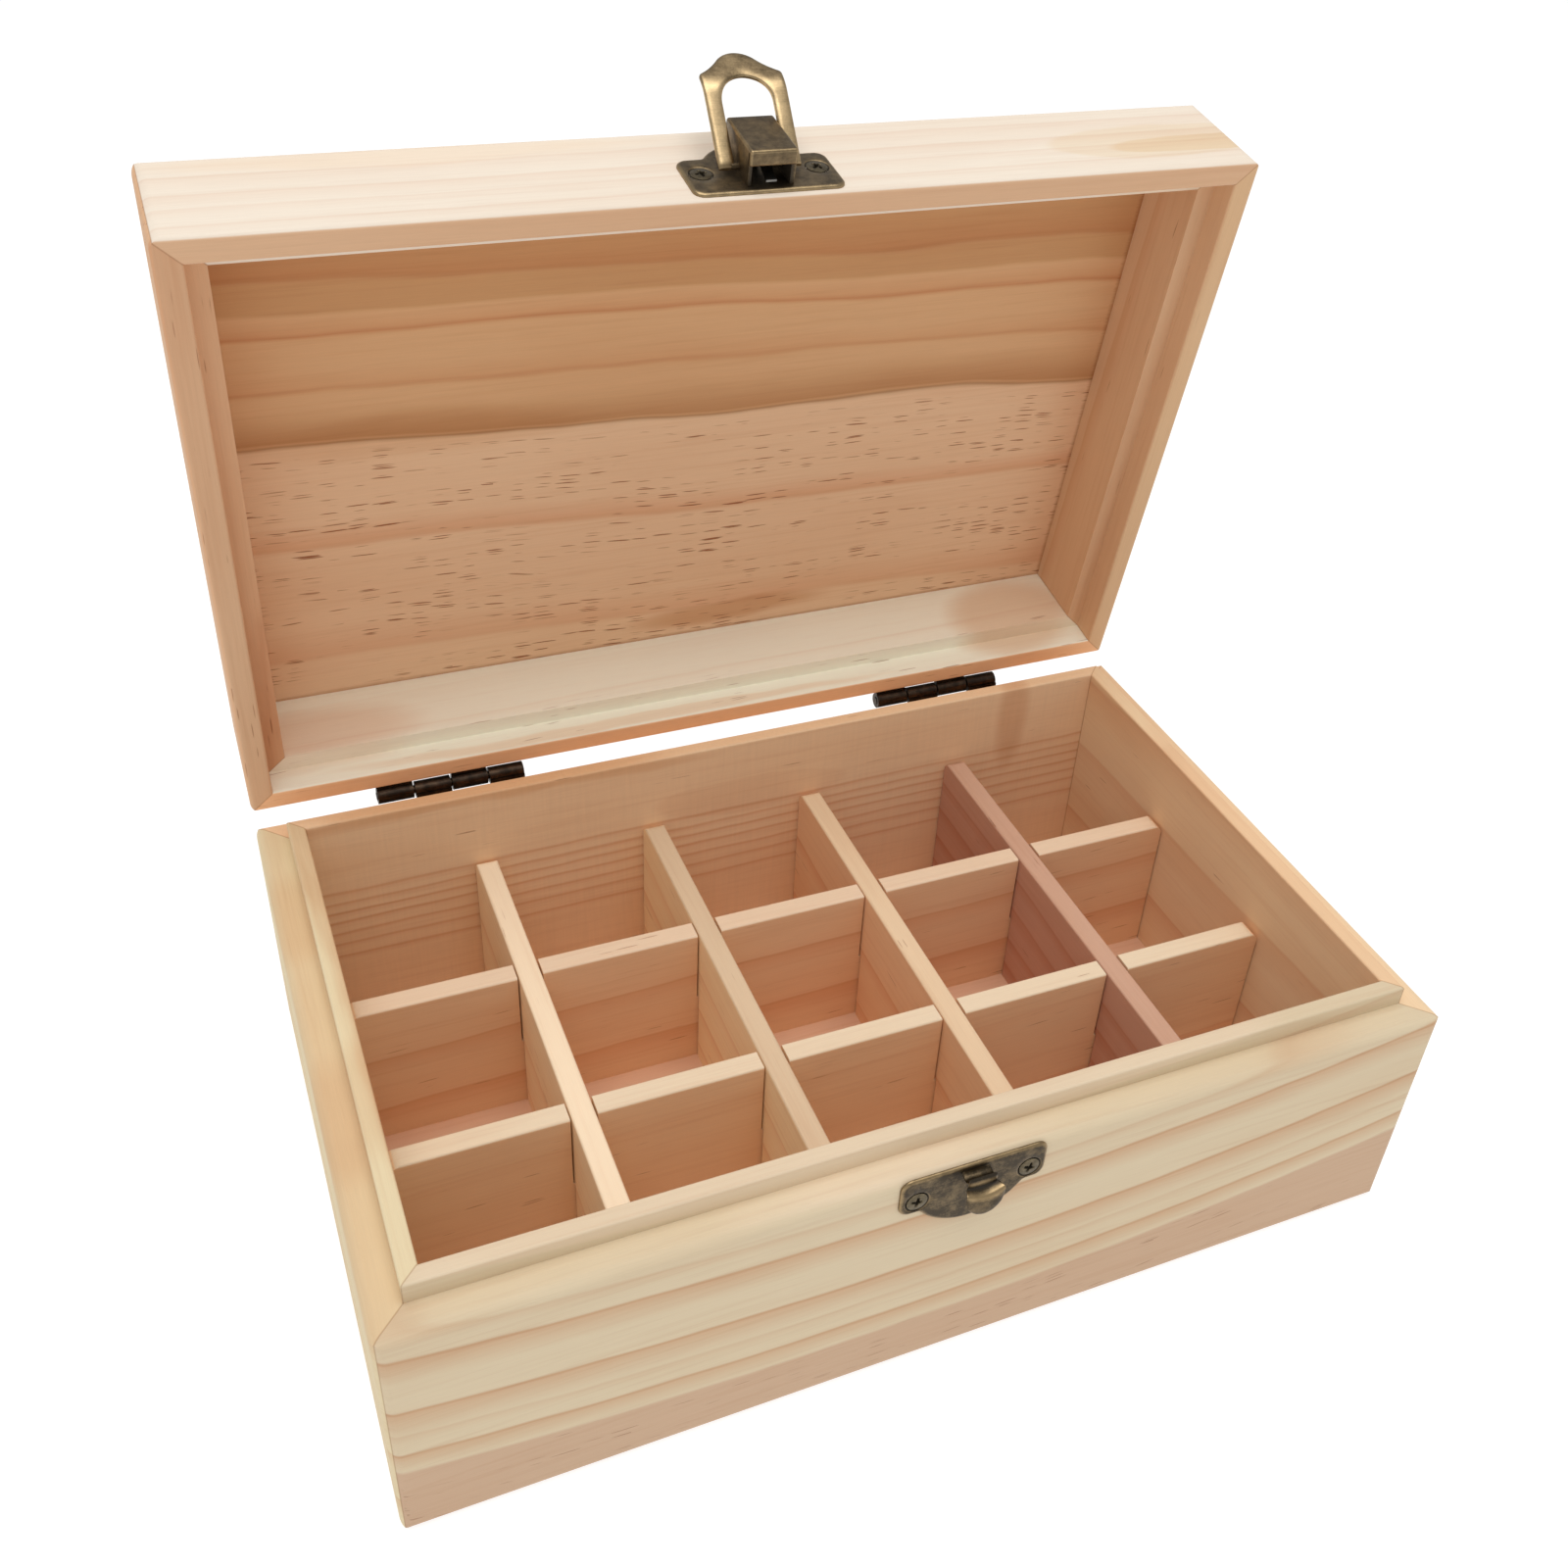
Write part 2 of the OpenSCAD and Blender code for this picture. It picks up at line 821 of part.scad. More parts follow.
// Front view of the nose: narrow at its fold and round at its tip
module nose_outline() {
    neck = neck_share * nose_w;
    mid = nose_h - nose_w / 2;
    translate([0, mid])
        circle(nose_w / 2);
    polygon([[-neck, -over], [neck, -over], [nose_w / 2, mid], [-nose_w / 2, mid]]);
}

module keeper_screws() {
    at_plate_screws(keeper_screw_z)
        screw(screw_l);
}

front_board();
back_board();
left_board();
right_board();
bottom_panel();
cross_divider(1);  // cross_divider_1
cross_divider(2);  // cross_divider_2
cross_divider(3);  // cross_divider_3
cross_divider(4);  // cross_divider_4
long_divider(-1);  // long_divider_front
long_divider(1);  // long_divider_back
keeper();
keeper_screws();
hinge_base_leaf(hinge_places[0]);  // left_hinge_base_leaf
hinge_base_leaf(hinge_places[1]);  // right_hinge_base_leaf
hinge_pin(hinge_places[0]);  // left_hinge_pin
hinge_pin(hinge_places[1]);  // right_hinge_pin
hinge_base_screws();
hinge_lid_leaf(hinge_places[0]);  // left_hinge_lid_leaf
hinge_lid_leaf(hinge_places[1]);  // right_hinge_lid_leaf
hinge_lid_screws();
lid_front_board();
lid_back_board();
lid_left_board();
lid_right_board();
lid_top_panel();
latch_plate();
latch_bracket();
latch_spring();
latch_screws();
latch_bail();
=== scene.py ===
"""Compartment storage box of pale pine, open, with its antique bronze latch, keeper and hinges."""
import math

import bmesh
import bpy
import numpy as np
from mathutils import Matrix, Vector
from mathutils.geometry import delaunay_2d_cdt


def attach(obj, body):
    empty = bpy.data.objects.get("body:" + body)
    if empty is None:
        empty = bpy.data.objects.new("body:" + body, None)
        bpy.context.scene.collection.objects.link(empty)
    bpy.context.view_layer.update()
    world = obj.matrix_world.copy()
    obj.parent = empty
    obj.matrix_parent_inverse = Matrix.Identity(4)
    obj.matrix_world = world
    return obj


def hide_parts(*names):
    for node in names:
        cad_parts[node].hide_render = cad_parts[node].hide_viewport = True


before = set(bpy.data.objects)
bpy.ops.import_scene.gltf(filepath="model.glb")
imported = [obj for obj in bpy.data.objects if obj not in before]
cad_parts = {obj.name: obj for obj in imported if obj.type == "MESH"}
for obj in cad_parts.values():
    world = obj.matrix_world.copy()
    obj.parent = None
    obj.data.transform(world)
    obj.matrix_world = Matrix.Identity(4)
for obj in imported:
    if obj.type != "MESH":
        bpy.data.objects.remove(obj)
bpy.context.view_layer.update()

# ---- Camera ----
# It looks down over the box's left front corner. Its focus and the centre of the picture are in
# pixels of the square picture and its place is in metres, all fitted to the box's corners.
IMAGE_SIDE = 1600
CAMERA_FOCUS = 1673.0
CAMERA_CENTRE = (863.06, 758.81)
CAMERA_PLACE = Vector((-0.11023, -0.22663, 0.28326))
CAMERA_LOOK = Vector((0.3548, 0.7259, -0.5892)).normalized()
CAMERA_UP = Vector((0.1842, 0.5636, 0.8053)).normalized()
SENSOR = 36

scene = bpy.context.scene
for stray in [o for o in scene.objects if o.type in {"CAMERA", "LIGHT"}]:
    bpy.data.objects.remove(stray)
lens = bpy.data.cameras.new("camera")
lens.sensor_fit = "HORIZONTAL"
lens.sensor_width = SENSOR
lens.lens = CAMERA_FOCUS / IMAGE_SIDE * SENSOR
lens.shift_x = (IMAGE_SIDE / 2 - CAMERA_CENTRE[0]) / IMAGE_SIDE
lens.shift_y = (CAMERA_CENTRE[1] - IMAGE_SIDE / 2) / IMAGE_SIDE
lens.clip_start, lens.clip_end = 0.01, 20
camera = bpy.data.objects.new("camera", lens)
right = CAMERA_LOOK.cross(CAMERA_UP).normalized()
turn = Matrix((right, right.cross(CAMERA_LOOK), -CAMERA_LOOK)).transposed()
camera.matrix_world = Matrix.Translation(CAMERA_PLACE) @ turn.to_4x4()
scene.collection.objects.link(camera)
scene.camera = camera
scene.view_settings.view_transform = "Standard"
scene.view_settings.exposure = 0

# ---- Light ----
# A white studio. One big soft lamp hangs over the box, and the bright world round it leaves
# hardly a shadow.
LAMP_PLACE, LAMP_AIM = Vector((-0.1, -0.15, 1.5)), Vector((0, 0, 0.05))
LAMP_SIDE, LAMP_POWER = 1.3, 13.0
WORLD_GLOW = 0.5
WHITE = (1.0, 1.0, 1.0, 1)

lamp = bpy.data.lights.new("overhead_light", "AREA")
lamp.shape = "SQUARE"
lamp.size = LAMP_SIDE
lamp.energy = LAMP_POWER
overhead = bpy.data.objects.new("overhead_light", lamp)
overhead.location = LAMP_PLACE
overhead.rotation_euler = (LAMP_AIM - LAMP_PLACE).to_track_quat("-Z", "Y").to_euler()
scene.collection.objects.link(overhead)
world = bpy.data.worlds.new("studio")
scene.world = world
world.use_nodes = True
glow = world.node_tree.nodes["Background"].inputs
glow["Color"].default_value = WHITE
glow["Strength"].default_value = WORLD_GLOW

# ---- Floor ----
# A wide white table top just under the box, which isn't part of it. It glows a little, so that
# it shows as bright as the studio's paper.
FLOOR_HALF, FLOOR_DROP = 6.0, 0.0002
FLOOR_GREY, FLOOR_GLOW = (0.35, 0.35, 0.35, 1), 0.78


class Wire:
    """Output of a shader node that can be added, subtracted, multiplied and divided."""

    def __init__(self, tree, socket):
        self.tree, self.socket = tree, socket

    def math(self, operation, *others, clamp=False):
        """One Math node on this value and the others."""
        made = self.tree.nodes.new("ShaderNodeMath")
        made.operation = operation
        made.use_clamp = clamp
        for slot, value in zip(made.inputs, (self, *others)):
            plug(self.tree, slot, value)
        return Wire(self.tree, made.outputs[0])

    def __add__(self, other):
        return self.math("ADD", other)

    def __sub__(self, other):
        return self.math("SUBTRACT", other)

    def __rsub__(self, other):
        return (self * -1).math("ADD", other)

    def __mul__(self, other):
        return self.math("MULTIPLY", other)

    def __truediv__(self, other):
        return self.math("DIVIDE", other)

    __radd__ = __add__
    __rmul__ = __mul__

    def above(self, low):
        """How far this value stands above low, or 0."""
        return (self - low).math("MAXIMUM", 0.0)

    def step(self, low, high):
        """0 below low, 1 above high and a smooth rise between; low may be the larger."""
        made = self.tree.nodes.new("ShaderNodeMapRange")
        made.interpolation_type = "SMOOTHSTEP"
        for slot, value in zip(("Value", "From Min", "From Max"), (self, low, high)):
            plug(self.tree, made.inputs[slot], value)
        return Wire(self.tree, made.outputs[0])


def plug(tree, socket, value):
    """Links a wire to a socket, or sets the socket to a plain value."""
    if isinstance(value, Wire):
        tree.links.new(value.socket, socket)
    else:
        socket.default_value = value


class Finish:
    """Material in the making: node() adds a node, and a Principled shader takes what is set."""

    def __init__(self, name):
        self.material = bpy.data.materials.new(name)
        self.material.use_nodes = True
        self.tree = self.material.node_tree
        self.surface = self.tree.nodes["Principled BSDF"]

    def node(self, kind, settings=None, inputs=None, output=0):
        """Output of a new node with these settings and the values or links of its sockets."""
        made = self.tree.nodes.new("ShaderNode" + kind)
        for key, value in (settings or {}).items():
            if key == "stops":
                marks = made.color_ramp.elements
                marks[0].position, marks[-1].position = value[0][0], value[-1][0]
                for place, _ in value[1:-1]:
                    marks.new(place)
                for mark, (_, colour) in zip(marks, value):
                    mark.color = colour
            else:
                setattr(made, key, value)
        for key, value in (inputs or {}).items():
            plug(self.tree, made.inputs[key], value)
        return Wire(self.tree, made.outputs[output])

    def scale(self, vector, by):
        """A vector or colour, longer or brighter by a number."""
        return self.node("VectorMath", {"operation": "SCALE"}, {0: vector, "Scale": by})

    def place(self):
        """Place on the piece in millimetres, as a vector."""
        return self.scale(self.node("TexCoord", output="Object"), 1000.0)

    def split(self, vector):
        """The three numbers of a vector."""
        first = self.node("SeparateXYZ", inputs={0: vector})
        return [Wire(self.tree, out) for out in first.socket.node.outputs]

    def join(self, x, y, z):
        """Vector from three numbers."""
        return self.node("CombineXYZ", inputs={0: x, 1: y, 2: z})

    def noise(self, vector, detail, rough):
        """Cloudy pattern from 0 to 1 whose lumps are about 1 across."""
        return self.node("TexNoise", inputs={
            "Vector": vector, "Scale": 1.0, "Detail": detail, "Roughness": rough})

    def mix(self, share, first, second, blend="MIX"):
        """Colour between first and second."""
        return self.node("Mix", {"data_type": "RGBA", "blend_type": blend},
                         {0: share, 6: first, 7: second}, output=2)

    def stain(self, share, tone, tint):
        """Tone darkened or coloured by a tint, as far as share says."""
        return self.mix(share, tone, (*tint, 1), "MULTIPLY")

    def bump(self, height, depth):
        """Normal of a surface whose height, from 0 to 1, is depth millimetres high."""
        return self.node("Bump", inputs={"Height": height, "Strength": 1.0,
                                         "Distance": depth / 1000})

    def set(self, **values):
        """Sets or links sockets of the Principled shader; _ stands for a space."""
        for key, value in values.items():
            plug(self.tree, self.surface.inputs[key.replace("_", " ")], value)


floor_mesh = bpy.data.meshes.new("floor")
floor_mesh.from_pydata([(x * FLOOR_HALF, y * FLOOR_HALF, -FLOOR_DROP) for x, y in
                        ((-1, -1), (1, -1), (1, 1), (-1, 1))], [], [(0, 1, 2, 3)])
floor = bpy.data.objects.new("floor", floor_mesh)
scene.collection.objects.link(floor)
floor_finish = Finish("floor_white")
floor_finish.set(Base_Color=FLOOR_GREY, Roughness=1.0, Specular_IOR_Level=0.0,
                 Emission_Color=WHITE, Emission_Strength=FLOOR_GLOW)
floor_mesh.materials.append(floor_finish.material)

# ---- Boards of the base ----
# Four planed pine boards, mitred and glued at the corners. Each is cut from another place in
# the log, so the growth rings meet its faces in bands of a different width, slope and colour.
HINGE_AXIS = Vector((0, 69.2, 54.65))
LID_OPEN = math.radians(80)
BOX_HALF = (105.0, 67.0)

# Length, width and depth in millimetres of the lumps of each noise in the wood.
BEND_LUMP, RIPPLE_LUMP, CLOUD_LUMP = (80, 30, 30), (12, 3, 3), (55, 15, 15)
GRAIN_LUMP, FIBRE_LUMP, SAWCUT_LUMP = (45, 1.2, 1.2), (8, 0.2, 0.2), (0.55, 12, 1)
DUCT_LUMP, CROWD_LUMP = (5.5, 0.3, 0.3), (24, 5, 5)

# Tones that the early wood is multiplied by: a ring's late wood and its thin last line, a pink
# zone, reddish clouds, brown streaks, resin ducts, and the glue lines of a mitre and a panel.
FADE = np.array((0.90, 0.74, 0.66))
LINE = np.array((0.78, 0.54, 0.42))
PINK = (0.86, 0.72, 0.70)
CLOUD_TINT, GRAIN_TINT, DUCT_TINT = (0.86, 0.72, 0.62), (0.72, 0.5, 0.38), (0.45, 0.27, 0.2)
MITRE_TINT, JOINT_TINT = (0.55, 0.4, 0.3), (0.55, 0.38, 0.28)
BORDER = 0.8


def figure(early, rings, zones, low, high):
    """Ramp stops of the wood's colour across its grain, from low to high in millimetres.

    Between rings it is the early wood times the tone of each zone (start, end, tone) there. A ring
    (place, fade, depth, line) darkens over fade millimetres up to its thin line, and ends sharply.
    A fifth value is the ring's own tone.
    """
    def plain(place):
        """Early wood under the zones' tones, which come in over a border."""
        tone = np.array(early)
        for start, end, tint in zones:
            share = np.clip(min(place - start, end - place) / BORDER + 0.5, 0, 1)
            tone = tone * (1 + share * (np.array(tint) - 1))
        return tone

    edges = {low, high, *(edge + side for start, end, _ in zones for edge in (start, end)
                          for side in (-BORDER / 2, BORDER / 2))}
    stops = [(place, plain(place)) for place in edges if low <= place <= high]
    # A ramp is read in 256 steps, so a line much thinner than this would be lost between them.
    fine = max(1, (high - low) / 80)
    for place, fade, depth, line, *own in rings:
        way = math.copysign(fine, fade)
        soft, dark = (np.array(own[0]), np.array(own[0]) * 0.8) if own else (FADE, LINE)
        for back, mark, share in ((fade, soft, 0), (0.5 * way, soft, depth), (0, dark, line),
                                  (-0.55 * way, dark, 0)):
            stops.append((place - back, plain(place - back) * (1 + share * (mark - 1))))
    stops = sorted((stop for stop in stops if low <= stop[0] <= high), key=lambda stop: stop[0])
    return [((place - low) / (high - low), (*tone, 1)) for place, tone in stops]


def pine(name, along, early, seed, rings=(), zones=(), span=(-10, 70), lean=(0.0, 0.0),
         bow=(0.0, 0.0), wave=1.0, patch=0.5, sawn=0.0, ducts=(), duct_depth=0.6, faces=(),
         blots=(), mitre=False, joint=None, lid=False):
    """Pine whose growth rings cross its face as bands.

    along is the axis of the grain and of the other two directions, such as "xzy". A point's ring
    number r is its second coordinate, less lean times the other two, less a bow that grows with
    the square of the distance from a middle, and a slow noise bends it by wave. r picks the
    colour from the figure, which repeats after its span. Clouds as strong as patch and fibres
    streak it along the grain, cross cuts of a saw shade it by sawn, and short resin ducts lie
    along r in the zones (low, high, how many) of ducts. faces tint a sawn face (low, high, tint)
    of the second coordinate, and blots are soft ellipses (two middles, two radii, softness, tint)
    where the cut skims another ring. mitre darkens the glue line of a corner, and joint the edge
    of a panel's inner face (half length, half depth, its height). lid turns the pattern back to
    the closed lid.
    """
    finish = Finish(name)
    at = finish.place()
    if lid:
        back = Matrix.Rotation(LID_OPEN, 3, "X")
        at = finish.node("Mapping", {"vector_type": "POINT"}, {
            "Vector": at, "Location": HINGE_AXIS - back @ HINGE_AXIS,
            "Rotation": (LID_OPEN, 0, 0)})
    axes = dict(zip("xyz", finish.split(at)))
    u, v, w = (axes[letter] for letter in along)

    def lumps(size, shift, middle=v):
        """The place in lumps of this length, width and depth, shifted by a number of lumps."""
        return finish.join(*(axis / one + move for axis, one, move in
                             zip((u, middle, w), size, shift)))

    slow = finish.noise(lumps(BEND_LUMP, (seed, 0, 3 * seed)), 2.0, 0.45)
    ripple = finish.noise(lumps(RIPPLE_LUMP, (0, seed, 0)), 1.0, 0.4)
    away = (u - bow[1]) * 0.01
    r = (v - u * lean[0] - w * lean[1] - away * away * bow[0]
         + (slow - 0.5) * (5 * wave) + (ripple - 0.5) * 0.6)
    place = ((r - span[0]) / (span[1] - span[0])).math("FRACT")
    tone = finish.node("ValToRGB", {"stops": figure(early, rings, zones, *span)}, {"Fac": place})
    for low, high, tint in faces:
        face = v.step(low - 0.1, low + 0.1) * v.step(high + 0.1, high - 0.1)
        tone = finish.stain(face, tone, tint)
    for u_mid, v_mid, u_far, v_far, soft, tint in blots:
        du = (u - u_mid) / u_far
        dv = (v - v_mid + (slow - 0.5) * 6 + (ripple - 0.5) * 2) / v_far
        tone = finish.stain((du * du + dv * dv).step(1 + soft / 2, 1 - soft / 2), tone, tint)

    fibre = finish.noise(lumps(FIBRE_LUMP, (seed, 0, 0)), 3.0, 0.6)
    grain = finish.noise(lumps(GRAIN_LUMP, (seed, 0, 0)), 3.0, 0.6)
    cloud = finish.noise(lumps(CLOUD_LUMP, (0, seed, 0)), 2.0, 0.5)
    tone = finish.stain(cloud.above(0.45) * (1.6 * patch), tone, CLOUD_TINT)
    tone = finish.stain(grain.above(0.5) * (0.9 * patch + 0.3), tone, GRAIN_TINT)
    shade = (fibre - 0.5) * 0.13 + 1
    if sawn:
        cuts = finish.noise(lumps(SAWCUT_LUMP, (0, seed, 0)), 1.0, 0.4)
        shade = shade + (cuts - 0.5) * sawn
    tone = finish.scale(tone, shade)

    streak = 0.0
    for low, high, many in ducts:
        cell = {"Vector": lumps(DUCT_LUMP, (seed, 0, 0), r), "Scale": 1.0}
        gap = finish.node("TexVoronoi", inputs=cell)
        chance, size, _ = finish.split(finish.node("TexVoronoi", inputs=cell, output=1))
        crowd = finish.noise(lumps(CROWD_LUMP, (seed, 0, 0), r), 1.0, 0.5).step(0.4, 0.6)
        zone = r.step(low - 1.5, low + 1.5) * r.step(high + 1.5, high - 1.5)
        dash = (gap - size * 0.4).step(0.25, 0.05) * chance.step(1 - many, 1.0001 - many)
        streak = streak + dash * zone * crowd
    if ducts:
        tone = finish.stain(streak * duct_depth, tone, DUCT_TINT)

    if mitre or joint:
        x, y = axes["x"].math("ABSOLUTE"), axes["y"].math("ABSOLUTE")
    if mitre:
        gap = (x - y - (BOX_HALF[0] - BOX_HALF[1])).math("ABSOLUTE")
        tone = finish.stain(gap.step(0.3, 0.05) * 0.55, tone, MITRE_TINT)
    if joint:
        edge = (x - joint[0]).math("MAXIMUM", y - joint[1])
        near = (edge + (fibre - 0.5) * 1.6).step(-1.3, 0.1) * w.step(joint[2] + 0.6, joint[2] + 0.2)
        tone = finish.stain(near * 0.7, tone, JOINT_TINT)
    finish.set(Base_Color=tone, Roughness=0.66 + fibre * 0.08, Specular_IOR_Level=0.25,
               Normal=finish.bump(fibre * 0.6 + grain * 0.4 - streak * 0.6, 0.05))
    return finish.material


def paint(material, *nodes):
    """Gives CAD nodes this material."""
    for name in nodes:
        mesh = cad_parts[name].data
        mesh.materials.clear()
        mesh.materials.append(material)


paint(pine("pine_front", "xzy", (0.75, 0.615, 0.42), 1.7,
           rings=[(49.5, 2.5, 0.4, 0.35), (43.6, 6, 1, 1), (29.6, 6, 1, 1), (23, 2, 0.3, 0.3),
                  (17.6, 5, 0.9, 0.9)],
           zones=[(-10, 12.5, PINK), (54.2, 90, (1.08, 1.06, 1.1))],
           bow=(7, -15), wave=0.2, ducts=[(-10, 12.5, 0.12)], duct_depth=0.5, mitre=True),
      "front_board")
paint(pine("pine_back", "xzy", (0.93, 0.645, 0.40), 5.3,
           rings=[(place, 1.5, 0.42, 0.7) for place in (40.5, 37.6, 35, 32.2, 29, 25.8, 22)],
           lean=(0.01, 0), wave=0.6, sawn=0.07, ducts=[(44, 70, 0.02)], mitre=True,
           blots=[(5, 44, 24, 5, 0.25, (0.96, 0.92, 0.90)),
                  (74, 51, 4, 14, 1.6, (0.86, 0.76, 0.70)),
                  (-55, 57.5, 45, 2.2, 1.4, (0.88, 0.77, 0.68))]),
      "back_board")
paint(pine("pine_left", "yzx", (0.83, 0.69, 0.44), 8.1,
           rings=[(8, 6, 0.7, 0.6), (24, 7, 0.8, 0.7), (43, 6, 0.7, 0.5), (57, 5, 0.6, 0.4)],
           lean=(0.03, 0.3), ducts=[(-10, 70, 0.05)], mitre=True,
           blots=[(-20, 56, 14, 6, 1.5, (0.95, 0.88, 0.84)),
                  (35, 55, 12, 5, 1.5, (0.96, 0.89, 0.84))]),
      "left_board")
paint(pine("pine_right", "yzx", (0.92, 0.68, 0.43), 11.9,
           rings=[(10, 7, 0.7, 0.6), (31, 8, 0.6, 0.4), (50, 8, 0.6, 0.4)],
           lean=(-0.04, 0.1), wave=1.4, ducts=[(-10, 70, 0.008)], mitre=True),
      "right_board")

# ---- Bottom panel ----
# One thin pine panel let into the boards from below, seen only at the foot of each compartment.
# Its wood is redder than the boards', with three broad rings.
paint(pine("pine_bottom", "xyz", (0.77, 0.475, 0.31), 14.2,
           rings=[(6, 8, 0.7, 0.5), (24, 9, 0.6, 0.6), (45, 7, 0.7, 0.4)],
           span=(-10, 55), lean=(0.03, 0), wave=1.5, ducts=[(-10, 55, 0.01)]),
      "bottom_panel")

# ---- Dividers ----
# Thin strips sawn from several boards, so each has its own colour. The cross ones are slotted
# from below and drop over the long ones, and the whole grid stands loose in the base.
DIVIDER_SPAN = (0, 42)
DIVIDER_TOP = 40.7
DIVIDERS = {
    "cross_divider_1": dict(
        along="yzx", early=(1.0, 0.78, 0.52), seed=21.0, ducts=0.08, top=(1.0, 1.04, 1.12),
        rings=[(12, 4, 0.5, 0.4), (26, 5, 0.4, 0.4)]),
    "cross_divider_2": dict(
        along="yzx", early=(1.0, 0.78, 0.49), seed=24.4, ducts=0.01, top=(0.76, 0.74, 0.79),
        rings=[(9, 4, 0.5, 0.5), (20, 4, 0.6, 0.5), (31, 4, 0.4, 0.4)]),
    "cross_divider_3": dict(
        along="yzx", early=(0.90, 0.59, 0.36), seed=27.7, ducts=0.015, top=(0.95, 1.1, 1.2),
        rings=[(7, 5, 0.6, 0.5), (24, 4, 0.7, 0.6)]),
    "cross_divider_4": dict(
        along="yzx", early=(0.62, 0.345, 0.24), seed=31.3, ducts=0.02, top=(1.05, 1.15, 1.15),
        rings=[(5, 3, 0.7, 0.6), (13, 3, 0.7, 0.6), (22, 4, 0.7, 0.6), (30, 3, 0.6, 0.6)]),
    "long_divider_front": dict(
        along="xzy", early=(0.93, 0.63, 0.39), seed=35.6, ducts=0.02, top=(0.93, 1.12, 1.3),
        rings=[(12, 7, 0.5, 0.3), (36, 5, 0.2, 0.2)]),
    "long_divider_back": dict(
        along="xzy", early=(0.87, 0.565, 0.34), seed=38.8, ducts=0.03, top=(1.0, 1.18, 1.4),
        rings=[(14, 6, 0.8, 0.6), (29, 5, 0.7, 0.6)]),
}
for name, wood in DIVIDERS.items():
    paint(pine("pine_" + name, wood["along"], wood["early"], wood["seed"], rings=wood["rings"],
               span=DIVIDER_SPAN, lean=(0.03, 0.05), wave=0.9,
               ducts=[(*DIVIDER_SPAN, wood["ducts"])],
               faces=[(DIVIDER_TOP, DIVIDER_SPAN[1], wood["top"])]), name)

# ---- Boards of the lid ----
# Four lighter boards with a recess cut round their inner rim, which drops over the base's lip.
# The rim's face is a fresh cut, so it has a tint of its own between the heights of RIM_FACE.
RIM_FACE = (50, 54.85)
LID_BOARD = dict(span=(40, 90), mitre=True, lid=True)
paint(pine("pine_lid_front", "xzy", (0.89, 0.78, 0.65), 43.1, **LID_BOARD,
           rings=[(59, 3, 0.15, 0.25), (64.5, 3, 0.2, 0.2), (69, 4, 0.3, 0.3),
                  (75, 5, 0.25, 0.25)],
           lean=(0.01, 0), wave=0.5, patch=0.3, faces=[(*RIM_FACE, (0.84, 0.605, 0.44))],
           blots=[(88, 66, 26, 7, 0.25, (0.97, 0.93, 0.86)),
                  (97, 64, 22, 3.6, 0.3, (0.95, 0.88, 0.78)),
                  (-60, 78, 40, 3, 1.5, (1.0, 0.95, 0.9))]),
      "lid_front_board")
paint(pine("pine_lid_back", "xzy", (1.0, 0.94, 0.77), 46.9, **LID_BOARD,
           rings=[(59, 2, 0.15, 0.2), (70, 5, 0.1, 0.1)],
           lean=(0.02, 0.1), patch=0.0, ducts=[(40, 57, 0.06)],
           faces=[(*RIM_FACE, (0.94, 0.59, 0.395))],
           blots=[(82, 66, 16, 10, 1.2, (0.86, 0.70, 0.60)),
                  (-88, 66, 20, 7, 1.5, (0.92, 0.79, 0.73)),
                  (-20, 57, 60, 1.6, 1.2, (0.93, 0.82, 0.75))]),
      "lid_back_board")
paint(pine("pine_lid_left", "yzx", (0.78, 0.48, 0.28), 51.2, **LID_BOARD,
           rings=[(58, 3, 0.5, 0.4), (68, 6, 0.5, 0.4), (79, 5, 0.5, 0.5)],
           lean=(0.02, 0.2), ducts=[(40, 90, 0.08)], faces=[(*RIM_FACE, (0.92, 0.95, 0.98))]),
      "lid_left_board")
paint(pine("pine_lid_right", "yzx", (0.77, 0.50, 0.30), 54.7, **LID_BOARD,
           rings=[(60, 4, 0.5, 0.4), (70, 6, 0.5, 0.3), (80, 5, 0.4, 0.4)],
           lean=(0.03, 0.15), ducts=[(40, 90, 0.015)], faces=[(*RIM_FACE, (0.97, 0.98, 0.93))]),
      "lid_right_board")

# ---- Top panel of the lid ----
# A thin panel glued into the lid. Its inner face is the warmest wood of the box, with curved
# dark rings near the front and hundreds of short resin ducts towards the hinges.
LID_WALL, PANEL_Z = 8.6, 78.0
paint(pine("pine_lid_top", "xyz", (0.87, 0.575, 0.355), 59.3,
           rings=[(-43, 8, 0.7, 0.6), (-31, 6, 0.6, 0.8), (-18, 5, 0.4, 0.6),
                  (-5, 9, 1, 1, (0.74, 0.62, 0.52)), (20, 5, 0.8, 0.6), (50, 8, 0.6, 0.4)],
           # The first zone is painted shade, darker towards the lid's front board.
           zones=[(-70, -36, (0.84, 0.77, 0.68)), (-70, -4.6, (0.87, 0.78, 0.65))],
           span=(-62, 64), lean=(0.03, 0), wave=1.5, ducts=[(-2, 60, 0.24)], duct_depth=1.2,
           joint=(BOX_HALF[0] - LID_WALL, BOX_HALF[1] - LID_WALL, PANEL_Z), lid=True,
           blots=[(10, 53, 22, 3, 1.5, (0.82, 0.68, 0.58)),
                  (-60, -8, 30, 5, 1.6, (0.92, 0.86, 0.8))]),
      "lid_top_panel")

